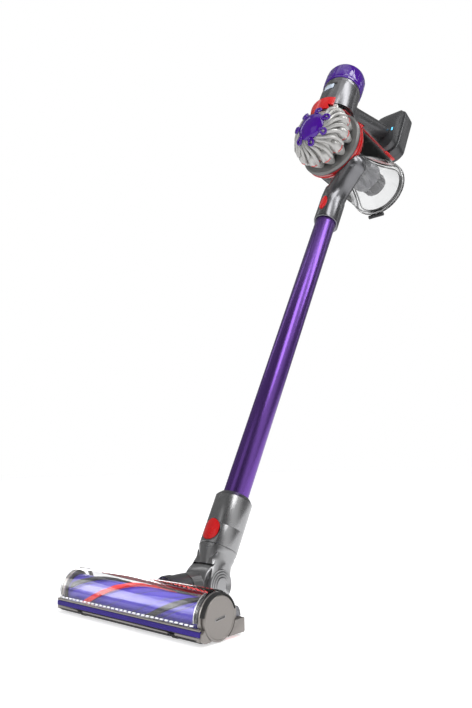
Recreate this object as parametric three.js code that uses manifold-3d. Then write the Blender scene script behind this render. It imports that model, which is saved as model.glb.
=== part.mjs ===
// Cordless stick vacuum: powered floor head, wand, and hand-held unit with a
// cyclone pack, clear dust bin, motor, filters and battery.
// Millimetres, +Z up. The floor is at Z = 0, X runs along the brush bar and
// the wand leans back towards +Y. The finished model's origin is on the floor
// below the middle of its bounding box.

import * as THREE from "three";
import { mergeVertices } from "three/addons/utils/BufferGeometryUtils.js";
import Module from "manifold-3d";

const wasm = await Module();
wasm.setup();

// ---------------------------------------------------------------- dimensions

const GAP = 0.35; // fixed clearance between pieces that touch on the real object
const RUN = 0.5; // clearance round a piece that slides or turns
const WALL = 2.2; // usual moulded wall
const SIDES = 24; // facets round a large circle
const FINE_SIDES = 12; // facets round a small circle
const BIN_SIDES = 32; // facets round the dust bin

// floor head
const HEAD_WIDTH = 250;
const BRUSH_AXIS_Z = 22.5;
const BRUSH_CORE_RADIUS = 17.5;
const BRISTLE_RADIUS = 21.4;
const WINDOW_RADIUS = 27;
const WINDOW_WALL = 1.8;
const END_CAP_RADIUS = 22.4;
const END_CAP_THICKNESS = 4;
const SIDE_WALL = 5;
const HEAD_BACK_Y = 37.3;
const HEAD_BACK_TOP_Z = 17.6;
const SOLE_Z = 1.6;
const SOLE_THICKNESS = 2;
const BUMPER_FRONT_Y = -25.6;
const BUMPER_BACK_Y = -22;
const STRIP_BOTTOM_Z = 8.5;
const STRIP_TOP_Z = 13.6;
const BUMPER_BOTTOM_Z = 5;
const BUMPER_TOP_Z = 17;
const COMB_TOOTH_COUNT = 20;
const COMB_ANGLE = THREE.MathUtils.degToRad(55);
const ROLLER_RADIUS = 4.3;
const ROLLER_WIDTH = 9;
const ROLLER_X = 79;
const ROLLER_Y = -18;
const BRUSH_MOTOR_RADIUS = 13;
const BRUSH_CORE_WALL = 2.4;

// neck between the head and the wand
const PIVOT_Y = 108.7;
const PIVOT_Z = 26;
const ELBOW_RADIUS = 23;
const ELBOW_WIDTH = 36;
const NECK_PIPE_RADIUS = 18;
const NECK_PIPE_BACK_Y = 70;
const CHEEK_THICKNESS = 5;
const PIVOT_PIN_RADIUS = 4;
const NECK_TOP_RADIUS = 25.4;
const NECK_JOINT_Z = 45.1; // along the wand, from the elbow pivot

// wand
const LEAN = THREE.MathUtils.degToRad(28.85);
const WAND_RADIUS = 17.5;
const WAND_WALL = 1.4;
const WAND_VISIBLE = 514;
const WAND_INSERT = 42; // hidden in the socket of the hand-held unit
const CUFF_RADIUS = 25.4;
const CUFF_LENGTH = 67.2;
const CUFF_BEVEL = 6;
const HEAD_BUTTON_WIDTH = 26;
const HEAD_BUTTON_LENGTH = 28;

// hand-held unit: socket and inlet duct
const SOCKET_RADIUS = 21.5;
const SOCKET_BULGE_RADIUS = 15;
const SOCKET_BULGE_Y = 11.5;
const SOCKET_LENGTH = 68;
const DUCT_RADIUS = 20;
const DUCT_WALL = 3.2;
const DUCT_RISE = 116;
const DUCT_SIDE_X = 36;
const WAND_BUTTON_WIDTH = 13;
const WAND_BUTTON_LENGTH = 31;

// hand-held unit: motor housing and exhaust filter
const MOTOR_OFFSET = 67.5; // motor axis in front of the wand axis
const HOUSING_RADIUS = 35.3;
const HOUSING_TOP = 277.6; // above the socket mouth
const CAP_RADIUS = HOUSING_RADIUS + 1.3; // stands a little proud of the housing
const CAP_LENGTH = 43.6;
const BAYONET_HEIGHT = 5;
const MOTOR_RADIUS = 26;
const MOTOR_HEIGHT = 22;
const IMPELLER_RADIUS = 22;
const FILTER_RADIUS = 30;

// dust bin and cyclone pack, on an axis that leans forward from the wand
const BIN_TILT = THREE.MathUtils.degToRad(108);
const RIM_FORWARD = 52;
const RIM_UP = 150; // above the socket mouth
const RIM_RADIUS = 60;
const BIN_RADIUS = 55;
const BIN_WALL = 2.2;
const BIN_LENGTH = 170.5; // rim to the outer face of the lid's edge
const COLLAR_RADIUS = 59.6;
const COLLAR_TOP = -4.4;
const COLLAR_HEIGHT = 18;
const LID_RADIUS = 57;
const LID_THICKNESS = 7;
const CATCH_HEIGHT = 26;
const CATCH_TRAVEL = 5;
const SHROUD_RADIUS = 42;
const SHROUD_STEP_RADIUS = 36;
const SKIRT_RADIUS = 25;
const CROWN_RADIUS = 57;
const CROWN_BASE = 21;
const CROWN_TOP = 58;
const LEVER_HALF = 28; // half of the lift lever's width
const PETAL_COUNT = 12;
const CONE_RING_RADIUS = 44;
const FILTER_BORE_RADIUS = 16;
const PRE_FILTER_CAP_RADIUS = 26;
const PRE_FILTER_LENGTH = 128;

// handle and battery
const HANDLE_RADIUS = 16;
const HANDLE_WALL = 2.6;
const HANDLE_TILT = THREE.MathUtils.degToRad(-56.7);
const HANDLE_CROSSING = 283.3; // above the socket mouth, where it crosses the wand axis
const BATTERY_FRONT_Y = 96;
const BATTERY_DEPTH = 28;
const BATTERY_LENGTH = 135;
const BATTERY_WIDTH = 62;
const BATTERY_BOTTOM = 287; // above the socket mouth
const BATTERY_CORNER = 24;
const CELL_RADIUS = 9.1;
const CELL_LENGTH = 49.6;
const DOCK_WIDTH = 52;
const SPINE_TOP = -24;
const SPINE_HALF = 9;

// ------------------------------------------------------------------ finishes

const FINISHES = {
  nickel: { color: 0x77777c, roughness: 0.28, metalness: 0.85 },
  violet_anodised: { color: 0x6a4fb0, roughness: 0.3, metalness: 0.7 },
  violet_clear: { color: 0x5a2fc8, roughness: 0.15, metalness: 0 },
  light_grey: { color: 0xb5b4b0, roughness: 0.35, metalness: 0.1 },
  warm_grey: { color: 0x8c8782, roughness: 0.4, metalness: 0.3 },
  dark_grey: { color: 0x4c4d51, roughness: 0.45, metalness: 0.1 },
  black: { color: 0x1c1c1e, roughness: 0.5, metalness: 0 },
  rubber: { color: 0x161617, roughness: 0.8, metalness: 0 },
  red: { color: 0xd8121a, roughness: 0.3, metalness: 0 },
  red_clear: { color: 0xd01a20, roughness: 0.15, metalness: 0 },
  clear: { color: 0xe8ecee, roughness: 0.05, metalness: 0 },
  smoke_clear: { color: 0x4a4a52, roughness: 0.1, metalness: 0 },
  indigo: { color: 0x3f3397, roughness: 0.45, metalness: 0 },
  indigo_felt: { color: 0x392d8c, roughness: 0.9, metalness: 0 },
  steel: { color: 0xa8a9ab, roughness: 0.3, metalness: 0.9 },
  copper: { color: 0xb87333, roughness: 0.35, metalness: 0.9 },
  board: { color: 0x1f5b34, roughness: 0.5, metalness: 0 },
  paper: { color: 0xdcd8cc, roughness: 0.9, metalness: 0 },
  blue_light: { color: 0x6fc8f5, roughness: 0.3, metalness: 0 },
  cell_wrap: { color: 0x2f6f9f, roughness: 0.4, metalness: 0 },
};

// ------------------------------------------------------------ shape tools

/** Closed solid of a three.js geometry. */
function solidOf(geometry) {
  const bare = geometry.clone();
  for (const name of Object.keys(bare.attributes)) {
    if (name !== "position") bare.deleteAttribute(name);
  }
  const merged = mergeVertices(bare, 1e-4);
  const all = merged.index.array;
  const kept = [];
  for (let i = 0; i < all.length; i += 3) {
    const [a, b, c] = [all[i], all[i + 1], all[i + 2]];
    if (a !== b && b !== c && c !== a) kept.push(a, b, c);
  }
  return new wasm.Manifold(
    new wasm.Mesh({
      numProp: 3,
      vertProperties: new Float32Array(merged.attributes.position.array),
      triVerts: new Uint32Array(kept),
    }),
  );
}

/** three.js geometry of a solid. */
function geometryOf(solid) {
  const mesh = solid.getMesh();
  const geometry = new THREE.BufferGeometry();
  geometry.setAttribute("position", new THREE.BufferAttribute(mesh.vertProperties, 3));
  geometry.setIndex(new THREE.BufferAttribute(mesh.triVerts, 1));
  geometry.computeVertexNormals();
  return geometry;
}

function join(...shapes) {
  return geometryOf(shapes.map(solidOf).reduce((sum, next) => sum.add(next)));
}

function cut(shape, ...tools) {
  return geometryOf(tools.map(solidOf).reduce((rest, tool) => rest.subtract(tool), solidOf(shape)));
}

function common(shape, other) {
  return geometryOf(solidOf(shape).intersect(solidOf(other)));
}

function moved(geometry, x, y, z) {
  return geometry.clone().translate(x, y, z);
}

/** Box given by its low and high corners. */
function block(x0, x1, y0, y1, z0, z1) {
  const box = new THREE.BoxGeometry(x1 - x0, y1 - y0, z1 - z0);
  return box.translate((x0 + x1) / 2, (y0 + y1) / 2, (z0 + z1) / 2);
}

/** Cylinder or cone along Z from z0 to z1. */
function rod(r0, r1, z0, z1, sides = SIDES) {
  const cylinder = new THREE.CylinderGeometry(r1, r0, z1 - z0, sides);
  return cylinder.rotateX(Math.PI / 2).translate(0, 0, (z0 + z1) / 2);
}

/** Cylinder along X. */
function rodX(radius, x0, x1, y, z, sides = SIDES) {
  const cylinder = rod(radius, radius, x0, x1, sides);
  return cylinder.rotateY(Math.PI / 2).translate(0, y, z);
}

/** Cylinder along Y. */
function rodY(radius, y0, y1, x, z, sides = SIDES) {
  const cylinder = rod(radius, radius, -y1, -y0, sides);
  return cylinder.rotateX(Math.PI / 2).translate(x, 0, z);
}

/** Solid turned about Z from [radius, z] points, outer wall first, going up. */
function turned(points, sides = SIDES) {
  const profile = points.map(([r, z]) => new THREE.Vector2(r, z));
  if (points[0][0] > 0) profile.push(profile[0].clone());
  return new THREE.LatheGeometry(profile, sides).rotateX(Math.PI / 2);
}

function ring(outer, inner, z0, z1, sides = SIDES) {
  return turned([[outer, z0], [outer, z1], [inner, z1], [inner, z0]], sides);
}

/** Flat outline in Y and Z, given thickness along X about x = centre. */
function slabX(points, width, centre = 0) {
  const shape = new THREE.Shape(points.map(([y, z]) => new THREE.Vector2(y, z)));
  const slab = new THREE.ExtrudeGeometry(shape, { depth: width, bevelEnabled: false });
  const basis = new THREE.Matrix4().makeBasis(
    new THREE.Vector3(0, 1, 0),
    new THREE.Vector3(0, 0, 1),
    new THREE.Vector3(1, 0, 0),
  );
  return slab.applyMatrix4(basis).translate(centre - width / 2, 0, 0);
}

/** Rounded rectangle in X and Z with its corner at (x0, z0). */
function roundedOutline(width, height, corner, steps = 6) {
  const points = [];
  const centres = [
    [width / 2 - corner, height / 2 - corner, 0],
    [-width / 2 + corner, height / 2 - corner, 1],
    [-width / 2 + corner, -height / 2 + corner, 2],
    [width / 2 - corner, -height / 2 + corner, 3],
  ];
  for (const [cx, cz, quarter] of centres) {
    for (let i = 0; i <= steps; i += 1) {
      const angle = (quarter + i / steps) * (Math.PI / 2);
      points.push(new THREE.Vector2(cx + corner * Math.cos(angle), cz + corner * Math.sin(angle)));
    }
  }
  return points;
}

/** Rounded rectangle in X and Z, extruded from y0 to y1. */
function pad(width, height, corner, y0, y1, centreZ) {
  const shape = new THREE.Shape(roundedOutline(width, height, corner));
  const slab = new THREE.ExtrudeGeometry(shape, { depth: y1 - y0, bevelEnabled: false });
  return slab.rotateX(Math.PI / 2).translate(0, y1, centreZ);
}

/** Tube of round section swept along a smooth route. */
function swept(points, radius, steps, sides = 9) {
  const route = new THREE.CatmullRomCurve3(points.map((p) => new THREE.Vector3(...p)));
  const section = new THREE.Shape();
  section.absarc(0, 0, radius, 0, Math.PI * 2);
  const settings = { steps, bevelEnabled: false, extrudePath: route, curveSegments: sides };
  return new THREE.ExtrudeGeometry(section, settings);
}

// --------------------------------------------------------------- assembly

const vacuum = new THREE.Group();

function frameIn(parent, x, y, z, turnX = 0) {
  const frame = new THREE.Group();
  frame.position.set(x, y, z);
  frame.rotation.x = turnX;
  parent.add(frame);
  return frame;
}

const head = frameIn(vacuum, 0, 0, 0);
const neck = frameIn(vacuum, 0, PIVOT_Y, PIVOT_Z, -LEAN);
const cuffTop = NECK_JOINT_Z + CUFF_LENGTH;
const mouthZ = cuffTop + CUFF_BEVEL + WAND_VISIBLE;
const unit = frameIn(neck, 0, 0, mouthZ);
const bin = frameIn(unit, 0, -RIM_FORWARD, RIM_UP, BIN_TILT);
const handleRootY = -MOTOR_OFFSET + HOUSING_RADIUS;
const handleRootZ = HANDLE_CROSSING + handleRootY / Math.tan(-HANDLE_TILT);
const handle = frameIn(unit, 0, handleRootY, handleRootZ, HANDLE_TILT);

/** Geometry of one frame of the hand-held unit, taken into the unit's own frame. */
function toUnit(frame, geometry) {
  frame.updateMatrix();
  return geometry.clone().applyMatrix4(frame.matrix);
}

/** Geometry of the hand-held unit, taken into the dust bin's frame. */
function intoBin(geometry) {
  bin.updateMatrix();
  return geometry.clone().applyMatrix4(bin.matrix.clone().invert());
}

function part(frame, name, finish, geometry) {
  const mesh = new THREE.Mesh(geometryOf(solidOf(geometry)), new THREE.MeshStandardMaterial(FINISHES[finish]));
  mesh.name = name;
  frame.add(mesh);
}

// ------------------------------------------------------------- floor head

const halfWidth = HEAD_WIDTH / 2;
const innerX = halfWidth - END_CAP_THICKNESS - SIDE_WALL - GAP;
const windowInner = WINDOW_RADIUS - WINDOW_WALL;

function makeHeadChassis() {
  const outline = [
    [10, SOLE_Z + SOLE_THICKNESS + GAP],
    [HEAD_BACK_Y, SOLE_Z + SOLE_THICKNESS + GAP],
    [HEAD_BACK_Y, HEAD_BACK_TOP_Z],
    [28.5, HEAD_BACK_TOP_Z],
    [28.5, 30],
    [23, 30],
    [10, 30],
  ];
  const body = slabX(outline, HEAD_WIDTH - END_CAP_THICKNESS - GAP, -(END_CAP_THICKNESS + GAP) / 2);
  const wallRight = halfWidth - END_CAP_THICKNESS - GAP;
  const cheekRight = rodX(WINDOW_RADIUS - 2.6, wallRight - SIDE_WALL, wallRight, 0, BRUSH_AXIS_Z);
  const cheekLeft = rodX(WINDOW_RADIUS - 2.6, -halfWidth, -halfWidth + SIDE_WALL, 0, BRUSH_AXIS_Z);
  const floorTrim = block(-halfWidth, halfWidth, -40, 60, -10, SOLE_Z + SOLE_THICKNESS + GAP);
  const brushRoom = rodX(windowInner - 1.2, -innerX, innerX, 0, BRUSH_AXIS_Z);
  const bumperRoom = block(-halfWidth, halfWidth, -60, BUMPER_BACK_Y + GAP, 0, BUMPER_TOP_Z + GAP);
  const bearingHole = rodX(9, innerX - 1, halfWidth, 0, BRUSH_AXIS_Z, FINE_SIDES);
  const airway = rodY(NECK_PIPE_RADIUS - WALL - 3, 0, HEAD_BACK_Y + 1, 0, 18, FINE_SIDES);
  return cut(join(body, cheekRight, cheekLeft), floorTrim, brushRoom, bumperRoom, bearingHole, airway);
}

function makeSolePlate() {
  const backBar = block(-halfWidth + 2, halfWidth - 6, 12, HEAD_BACK_Y - 1, SOLE_Z, SOLE_Z + SOLE_THICKNESS);
  const frontBar = block(-halfWidth + 2, halfWidth - 6, -21.5, -11, SOLE_Z, SOLE_Z + SOLE_THICKNESS);
  const leftBar = block(-halfWidth + 2, -halfWidth + 7, -21.5, 14, SOLE_Z, SOLE_Z + SOLE_THICKNESS);
  const rightBar = block(halfWidth - 11, halfWidth - 6, -21.5, 14, SOLE_Z, SOLE_Z + SOLE_THICKNESS);
  const rollerRooms = [-ROLLER_X, ROLLER_X].map((x) =>
    block(x - ROLLER_WIDTH / 2 - 1, x + ROLLER_WIDTH / 2 + 1, -23, -13.2, -1, 20),
  );
  const axleRooms = [-ROLLER_X, ROLLER_X].map((x) => rodX(1.6, x - 7.5, x + 7.5, ROLLER_Y, ROLLER_RADIUS, 12));
  return cut(join(backBar, frontBar, leftBar, rightBar), ...rollerRooms, ...axleRooms);
}

function makeWindow() {
  const from = THREE.MathUtils.degToRad(12);
  const to = THREE.MathUtils.degToRad(193);
  const steps = 26;
  const outline = [];
  for (let i = 0; i <= steps; i += 1) {
    const angle = from + ((to - from) * i) / steps;
    outline.push([WINDOW_RADIUS * Math.cos(angle), BRUSH_AXIS_Z + WINDOW_RADIUS * Math.sin(angle)]);
  }
  for (let i = steps; i >= 0; i -= 1) {
    const angle = from + ((to - from) * i) / steps;
    outline.push([windowInner * Math.cos(angle), BRUSH_AXIS_Z + windowInner * Math.sin(angle)]);
  }
  const shell = slabX(outline, HEAD_WIDTH - END_CAP_THICKNESS - 5, -(END_CAP_THICKNESS + 5) / 2 + 1.5);
  const rearRoom = block(-halfWidth, halfWidth, 9, 60, 0, 30 + GAP);
  return cut(shell, rearRoom);
}

function makeFrontBumper() {
  const outline = [
    [BUMPER_FRONT_Y + 1.5, BUMPER_BOTTOM_Z],
    [BUMPER_BACK_Y, BUMPER_BOTTOM_Z],
    [BUMPER_BACK_Y, BUMPER_TOP_Z - 2.5],
    [-24.2, BUMPER_TOP_Z - 1],
    [BUMPER_FRONT_Y, BUMPER_TOP_Z - 1],
    [BUMPER_FRONT_Y, STRIP_TOP_Z + GAP],
    [-23, STRIP_TOP_Z + GAP],
    [-23, STRIP_BOTTOM_Z - GAP],
    [BUMPER_FRONT_Y, STRIP_BOTTOM_Z - GAP],
    [BUMPER_FRONT_Y, BUMPER_BOTTOM_Z + 1.5],
  ];
  const rollerRooms = [-ROLLER_X, ROLLER_X].map((x) =>
    rodX(ROLLER_RADIUS + 0.9, x - ROLLER_WIDTH / 2 - 1, x + ROLLER_WIDTH / 2 + 1, ROLLER_Y, ROLLER_RADIUS, FINE_SIDES),
  );
  return cut(slabX(outline, HEAD_WIDTH - 2), ...rollerRooms);
}

function makeSoftStrip() {
  const outline = [
    [BUMPER_FRONT_Y - 1, STRIP_BOTTOM_Z],
    [-23 - GAP, STRIP_BOTTOM_Z],
    [-23 - GAP, STRIP_TOP_Z],
    [BUMPER_FRONT_Y - 1, STRIP_TOP_Z],
  ];
  return slabX(outline, HEAD_WIDTH - 6);
}

function makeCombRail() {
  const rail = block(-innerX + 2, innerX - 2, 22.6, 24.6, -1.5, 1.5);
  const pitch = (2 * innerX - 10) / COMB_TOOTH_COUNT;
  const teeth = [];
  for (let i = 0; i < COMB_TOOTH_COUNT; i += 1) {
    const x = -innerX + 5 + pitch * (i + 0.5);
    teeth.push(block(x - 0.8, x + 0.8, 21.9, 23.4, 1, 5));
  }
  return join(rail, ...teeth).rotateX(COMB_ANGLE).translate(0, 0, BRUSH_AXIS_Z);
}

function makeBrushCore() {
  const tubeEnd = innerX - 1.5;
  const outer = rodX(BRUSH_CORE_RADIUS, -tubeEnd, tubeEnd, 0, BRUSH_AXIS_Z);
  const bore = rodX(BRUSH_CORE_RADIUS - BRUSH_CORE_WALL, -tubeEnd - 1, tubeEnd - 4, 0, BRUSH_AXIS_Z);
  const journal = rodX(6, tubeEnd - 2, tubeEnd + 5, 0, BRUSH_AXIS_Z, FINE_SIDES);
  return join(cut(outer, bore), journal);
}

/** Strip wound round the brush core, from one radius to another. */
function helixStrip(inner, outer, width, turns, phase, length) {
  const steps = 40;
  const positions = [];
  const faces = [];
  for (let i = 0; i <= steps; i += 1) {
    const x = -length / 2 + (length * i) / steps;
    for (const [radius, offset] of [[inner, -0.5], [outer, -0.5], [outer, 0.5], [inner, 0.5]]) {
      const angle = phase + (turns * 2 * Math.PI * i) / steps + (offset * width) / outer;
      positions.push(x, radius * Math.cos(angle), BRUSH_AXIS_Z + radius * Math.sin(angle));
    }
  }
  for (let i = 0; i < steps; i += 1) {
    for (let k = 0; k < 4; k += 1) {
      const a = i * 4 + k;
      const b = i * 4 + ((k + 1) % 4);
      faces.push(a, b, a + 4, b, b + 4, a + 4);
    }
  }
  const last = steps * 4;
  faces.push(0, 2, 1, 0, 3, 2, last, last + 1, last + 2, last, last + 2, last + 3);
  const geometry = new THREE.BufferGeometry();
  geometry.setAttribute("position", new THREE.Float32BufferAttribute(positions, 3));
  geometry.setIndex(faces);
  return geometry;
}

function makeBrushMotor() {
  const body = rodX(BRUSH_MOTOR_RADIUS, -innerX + 2, innerX - 60, 0, BRUSH_AXIS_Z);
  const flange = rodX(BRUSH_MOTOR_RADIUS - 5, -innerX - GAP, -innerX + 3, 0, BRUSH_AXIS_Z, FINE_SIDES);
  const gearbox = rodX(BRUSH_MOTOR_RADIUS - 3, innerX - 62, innerX - 30, 0, BRUSH_AXIS_Z, FINE_SIDES);
  return join(body, flange, gearbox);
}

function makeEndCap() {
  const disc = rodX(END_CAP_RADIUS, halfWidth - END_CAP_THICKNESS, halfWidth, 0, BRUSH_AXIS_Z);
  const slot = block(halfWidth - 1.6, halfWidth + 1, -7, 7, BRUSH_AXIS_Z - 0.9, BRUSH_AXIS_Z + 0.9);
  const spigot = rodX(8.4, innerX + 2.6, halfWidth - 2, 0, BRUSH_AXIS_Z, FINE_SIDES);
  return cut(join(disc, spigot), slot, rodX(6.5, 0, innerX + 4.4, 0, BRUSH_AXIS_Z, FINE_SIDES));
}

function makeEndSeal() {
  const x0 = halfWidth - END_CAP_THICKNESS;
  const outer = rodX(END_CAP_RADIUS + 2.4, x0, halfWidth - 1.2, 0, BRUSH_AXIS_Z);
  const hole = rodX(END_CAP_RADIUS + RUN, x0 - 1, halfWidth + 1, 0, BRUSH_AXIS_Z);
  const lower = block(x0 - 1, halfWidth + 1, -40, 40, -20, BRUSH_AXIS_Z + 4);
  return cut(outer, hole, lower);
}

function makeSmokedCover() {
  const quarter = rodX(11, halfWidth - 22, halfWidth - END_CAP_THICKNESS - 1, 26 + 2.5 + GAP, HEAD_BACK_TOP_Z + GAP);
  const keep = block(0, halfWidth, 28.5 + GAP, 60, HEAD_BACK_TOP_Z + GAP, 60);
  return cut(common(quarter, keep), block(0, halfWidth, HEAD_BACK_Y, 60, 0, 60));
}

function makeNeckPipe() {
  const pipe = rodY(NECK_PIPE_RADIUS, 30.4, NECK_PIPE_BACK_Y, 0, PIVOT_Z);
  const flare = rodY(NECK_PIPE_RADIUS + 1.5, 38, 46, 0, PIVOT_Z);
  const bore = rodY(NECK_PIPE_RADIUS - WALL - 1, 20, NECK_PIPE_BACK_Y + 1, 0, PIVOT_Z);
  const chassisRoom = block(-60, 60, 0, HEAD_BACK_Y + GAP, -20, HEAD_BACK_TOP_Z + GAP);
  const frontRoom = block(-60, 60, 0, 30.4, -20, 60);
  return cut(join(pipe, flare), bore, chassisRoom, frontRoom);
}

part(head, "head_chassis", "warm_grey", makeHeadChassis());
part(head, "sole_plate", "dark_grey", makeSolePlate());
part(head, "window_cover", "clear", makeWindow());
part(head, "front_bumper", "warm_grey", makeFrontBumper());
part(head, "soft_strip", "indigo_felt", makeSoftStrip());
part(head, "comb_rail", "red", makeCombRail());
part(head, "brush_motor", "steel", makeBrushMotor());
part(head, "brush_core", "indigo", makeBrushCore());
const stripLength = 2 * innerX - 12;
const stripInner = BRUSH_CORE_RADIUS + RUN + 0.2;
part(head, "bristle_strip", "red", helixStrip(stripInner, BRISTLE_RADIUS, 5, 1.25, 1.2, stripLength));
part(head, "carbon_strip", "black", helixStrip(stripInner, BRISTLE_RADIUS - 0.6, 2.4, 1.25, 3.2, stripLength));
part(head, "end_cap", "warm_grey", makeEndCap());
part(head, "end_seal", "rubber", makeEndSeal());
part(head, "smoked_cover", "smoke_clear", makeSmokedCover());
for (const [side, x] of [["left", -ROLLER_X], ["right", ROLLER_X]]) {
  const wheel = rodX(ROLLER_RADIUS, x - ROLLER_WIDTH / 2, x + ROLLER_WIDTH / 2, ROLLER_Y, ROLLER_RADIUS, FINE_SIDES);
  const axle = rodX(1.2, x - 7, x + 7, ROLLER_Y, ROLLER_RADIUS, 12);
  part(head, `front_roller_${side}`, "rubber", join(wheel, axle));
}
part(head, "neck_pipe", "nickel", makeNeckPipe());

// ------------------------------------------------------- elbow and neck

const elbowHalf = ELBOW_WIDTH / 2;

/** Pivoting drum with a short pipe that turns in the end of the neck pipe. */
function makeElbow() {
  const drum = rodX(ELBOW_RADIUS, -elbowHalf, elbowHalf, PIVOT_Y, PIVOT_Z);
  const pipe = rodY(NECK_PIPE_RADIUS, NECK_PIPE_BACK_Y + GAP, PIVOT_Y, 0, PIVOT_Z);
  const spigot = rodY(NECK_PIPE_RADIUS - WALL - 1 - RUN, NECK_PIPE_BACK_Y - 12, NECK_PIPE_BACK_Y + 2, 0, PIVOT_Z);
  const pinHole = rodX(PIVOT_PIN_RADIUS + RUN, -60, 60, PIVOT_Y, PIVOT_Z, FINE_SIDES);
  const bore = rodY(NECK_PIPE_RADIUS - 7, 0, PIVOT_Y - 8, 0, PIVOT_Z, FINE_SIDES);
  return cut(join(drum, pipe, spigot), pinHole, bore);
}

function makeHubCover() {
  const x0 = elbowHalf + GAP + CHEEK_THICKNESS + GAP;
  const disc = rodX(17, x0, x0 + 2.4, 0, 0);
  const rings = [14, 10].map((radius) => {
    const band = rodX(radius, x0, x0 + 3.6, 0, 0);
    return cut(band, rodX(radius - 2, x0 - 1, x0 + 5, 0, 0));
  });
  return join(disc, ...rings);
}

/** Cone that carries the wand, forked round the elbow drum. */
function makeNeckFork() {
  const forkHalf = elbowHalf + GAP + CHEEK_THICKNESS;
  const crownZ = ELBOW_RADIUS + 1.2;
  const top = NECK_JOINT_Z - GAP;
  const crown = rod(20, NECK_TOP_RADIUS, crownZ, top);
  const cheekPlate = slabX([[-18, 0], [18, 0], [19.5, crownZ + 6], [-19.5, crownZ + 6]], 2 * forkHalf);
  const cheekDisc = rodX(18, -forkHalf, forkHalf, 0, 0);
  const slot = block(-elbowHalf - GAP, elbowHalf + GAP, -60, 60, -60, crownZ);
  const pinHole = rodX(PIVOT_PIN_RADIUS + GAP, -60, 60, 0, 0, FINE_SIDES);
  const bore = rod(12, 17, crownZ - 1, top + 1);
  const spigot = ring(WAND_RADIUS + 3.2, WAND_RADIUS, top - 2, top + 14);
  return join(cut(join(crown, cheekPlate, cheekDisc), slot, pinHole, bore), spigot);
}

part(head, "elbow", "nickel", makeElbow());
part(neck, "neck_fork", "nickel", makeNeckFork());
const pinHalf = elbowHalf + GAP + CHEEK_THICKNESS - 0.2;
part(neck, "pivot_pin", "steel", rodX(PIVOT_PIN_RADIUS, -pinHalf, pinHalf, 0, 0, FINE_SIDES));
part(neck, "hub_cover", "warm_grey", makeHubCover());

// -------------------------------------------------------------------- wand

const tubeBottom = NECK_JOINT_Z + 20;
const tubeTop = mouthZ + WAND_INSERT;

/** Oval plug that cuts or makes a button on the front of a round wall. */
function ovalFront(width, length, y0, y1, z) {
  const oval = new THREE.CylinderGeometry(0.5, 0.5, y1 - y0, FINE_SIDES);
  return oval.scale(width, 1, length).translate(0, (y0 + y1) / 2, z);
}

function makeWandCuff() {
  const profile = [
    [CUFF_RADIUS, NECK_JOINT_Z],
    [CUFF_RADIUS, cuffTop],
    [WAND_RADIUS + 1.6, cuffTop + CUFF_BEVEL],
    [WAND_RADIUS + GAP, cuffTop + CUFF_BEVEL],
    [WAND_RADIUS + GAP, NECK_JOINT_Z + 16],
    [WAND_RADIUS + 3.2 + RUN, NECK_JOINT_Z + 16],
    [WAND_RADIUS + 3.2 + RUN, NECK_JOINT_Z],
  ];
  const width = HEAD_BUTTON_WIDTH + 2 * RUN;
  const length = HEAD_BUTTON_LENGTH + 2 * RUN;
  return cut(turned(profile), ovalFront(width, length, -40, -CUFF_RADIUS + 5.4, headButtonZ));
}

const headButtonZ = NECK_JOINT_Z + 17;

/** Button whose face follows a round wall. */
function makeButton(width, length, radius, depth, proud, z) {
  const face = rod(radius + proud, radius + proud, z - length, z + length);
  return common(ovalFront(width, length, -radius - 10, -radius + depth, z), face);
}

const wandTube = ring(WAND_RADIUS, WAND_RADIUS - WAND_WALL, tubeBottom, tubeTop);
part(neck, "wand_tube", "violet_anodised", wandTube);
part(neck, "wand_cuff", "nickel", makeWandCuff());
const wandInner = WAND_RADIUS - WAND_WALL;
const wiring = block(-3, 3, wandInner - 3.2, wandInner - 0.9, tubeBottom + 4, tubeTop - 4);
part(neck, "wand_wiring", "black", wiring);
part(
  neck,
  "head_release_button",
  "red",
  makeButton(HEAD_BUTTON_WIDTH, HEAD_BUTTON_LENGTH, CUFF_RADIUS, 2.6, 0.8, headButtonZ),
);

// ------------------------------------------------------ bin and cyclones

const binBottom = -BIN_LENGTH;
const binTop = COLLAR_TOP - COLLAR_HEIGHT - GAP;
const rimBottom = COLLAR_TOP + GAP;

/** Route of the inlet duct, from the wand socket to the side of the bin. */
const ductRoute = [
  [0, 0, 40],
  [0, 0, 62],
  [6, -2, 80],
  [20, -8, 99],
  [DUCT_SIDE_X, -14, DUCT_RISE],
];

/** Space round the end of the duct that the bin and its collar leave free. */
function ductMouth() {
  const [x, y, z] = ductRoute.at(-1);
  return intoBin(new THREE.SphereGeometry(DUCT_RADIUS - DUCT_WALL, 16, 10).translate(x - 2, y + 4, z + 4));
}

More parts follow.
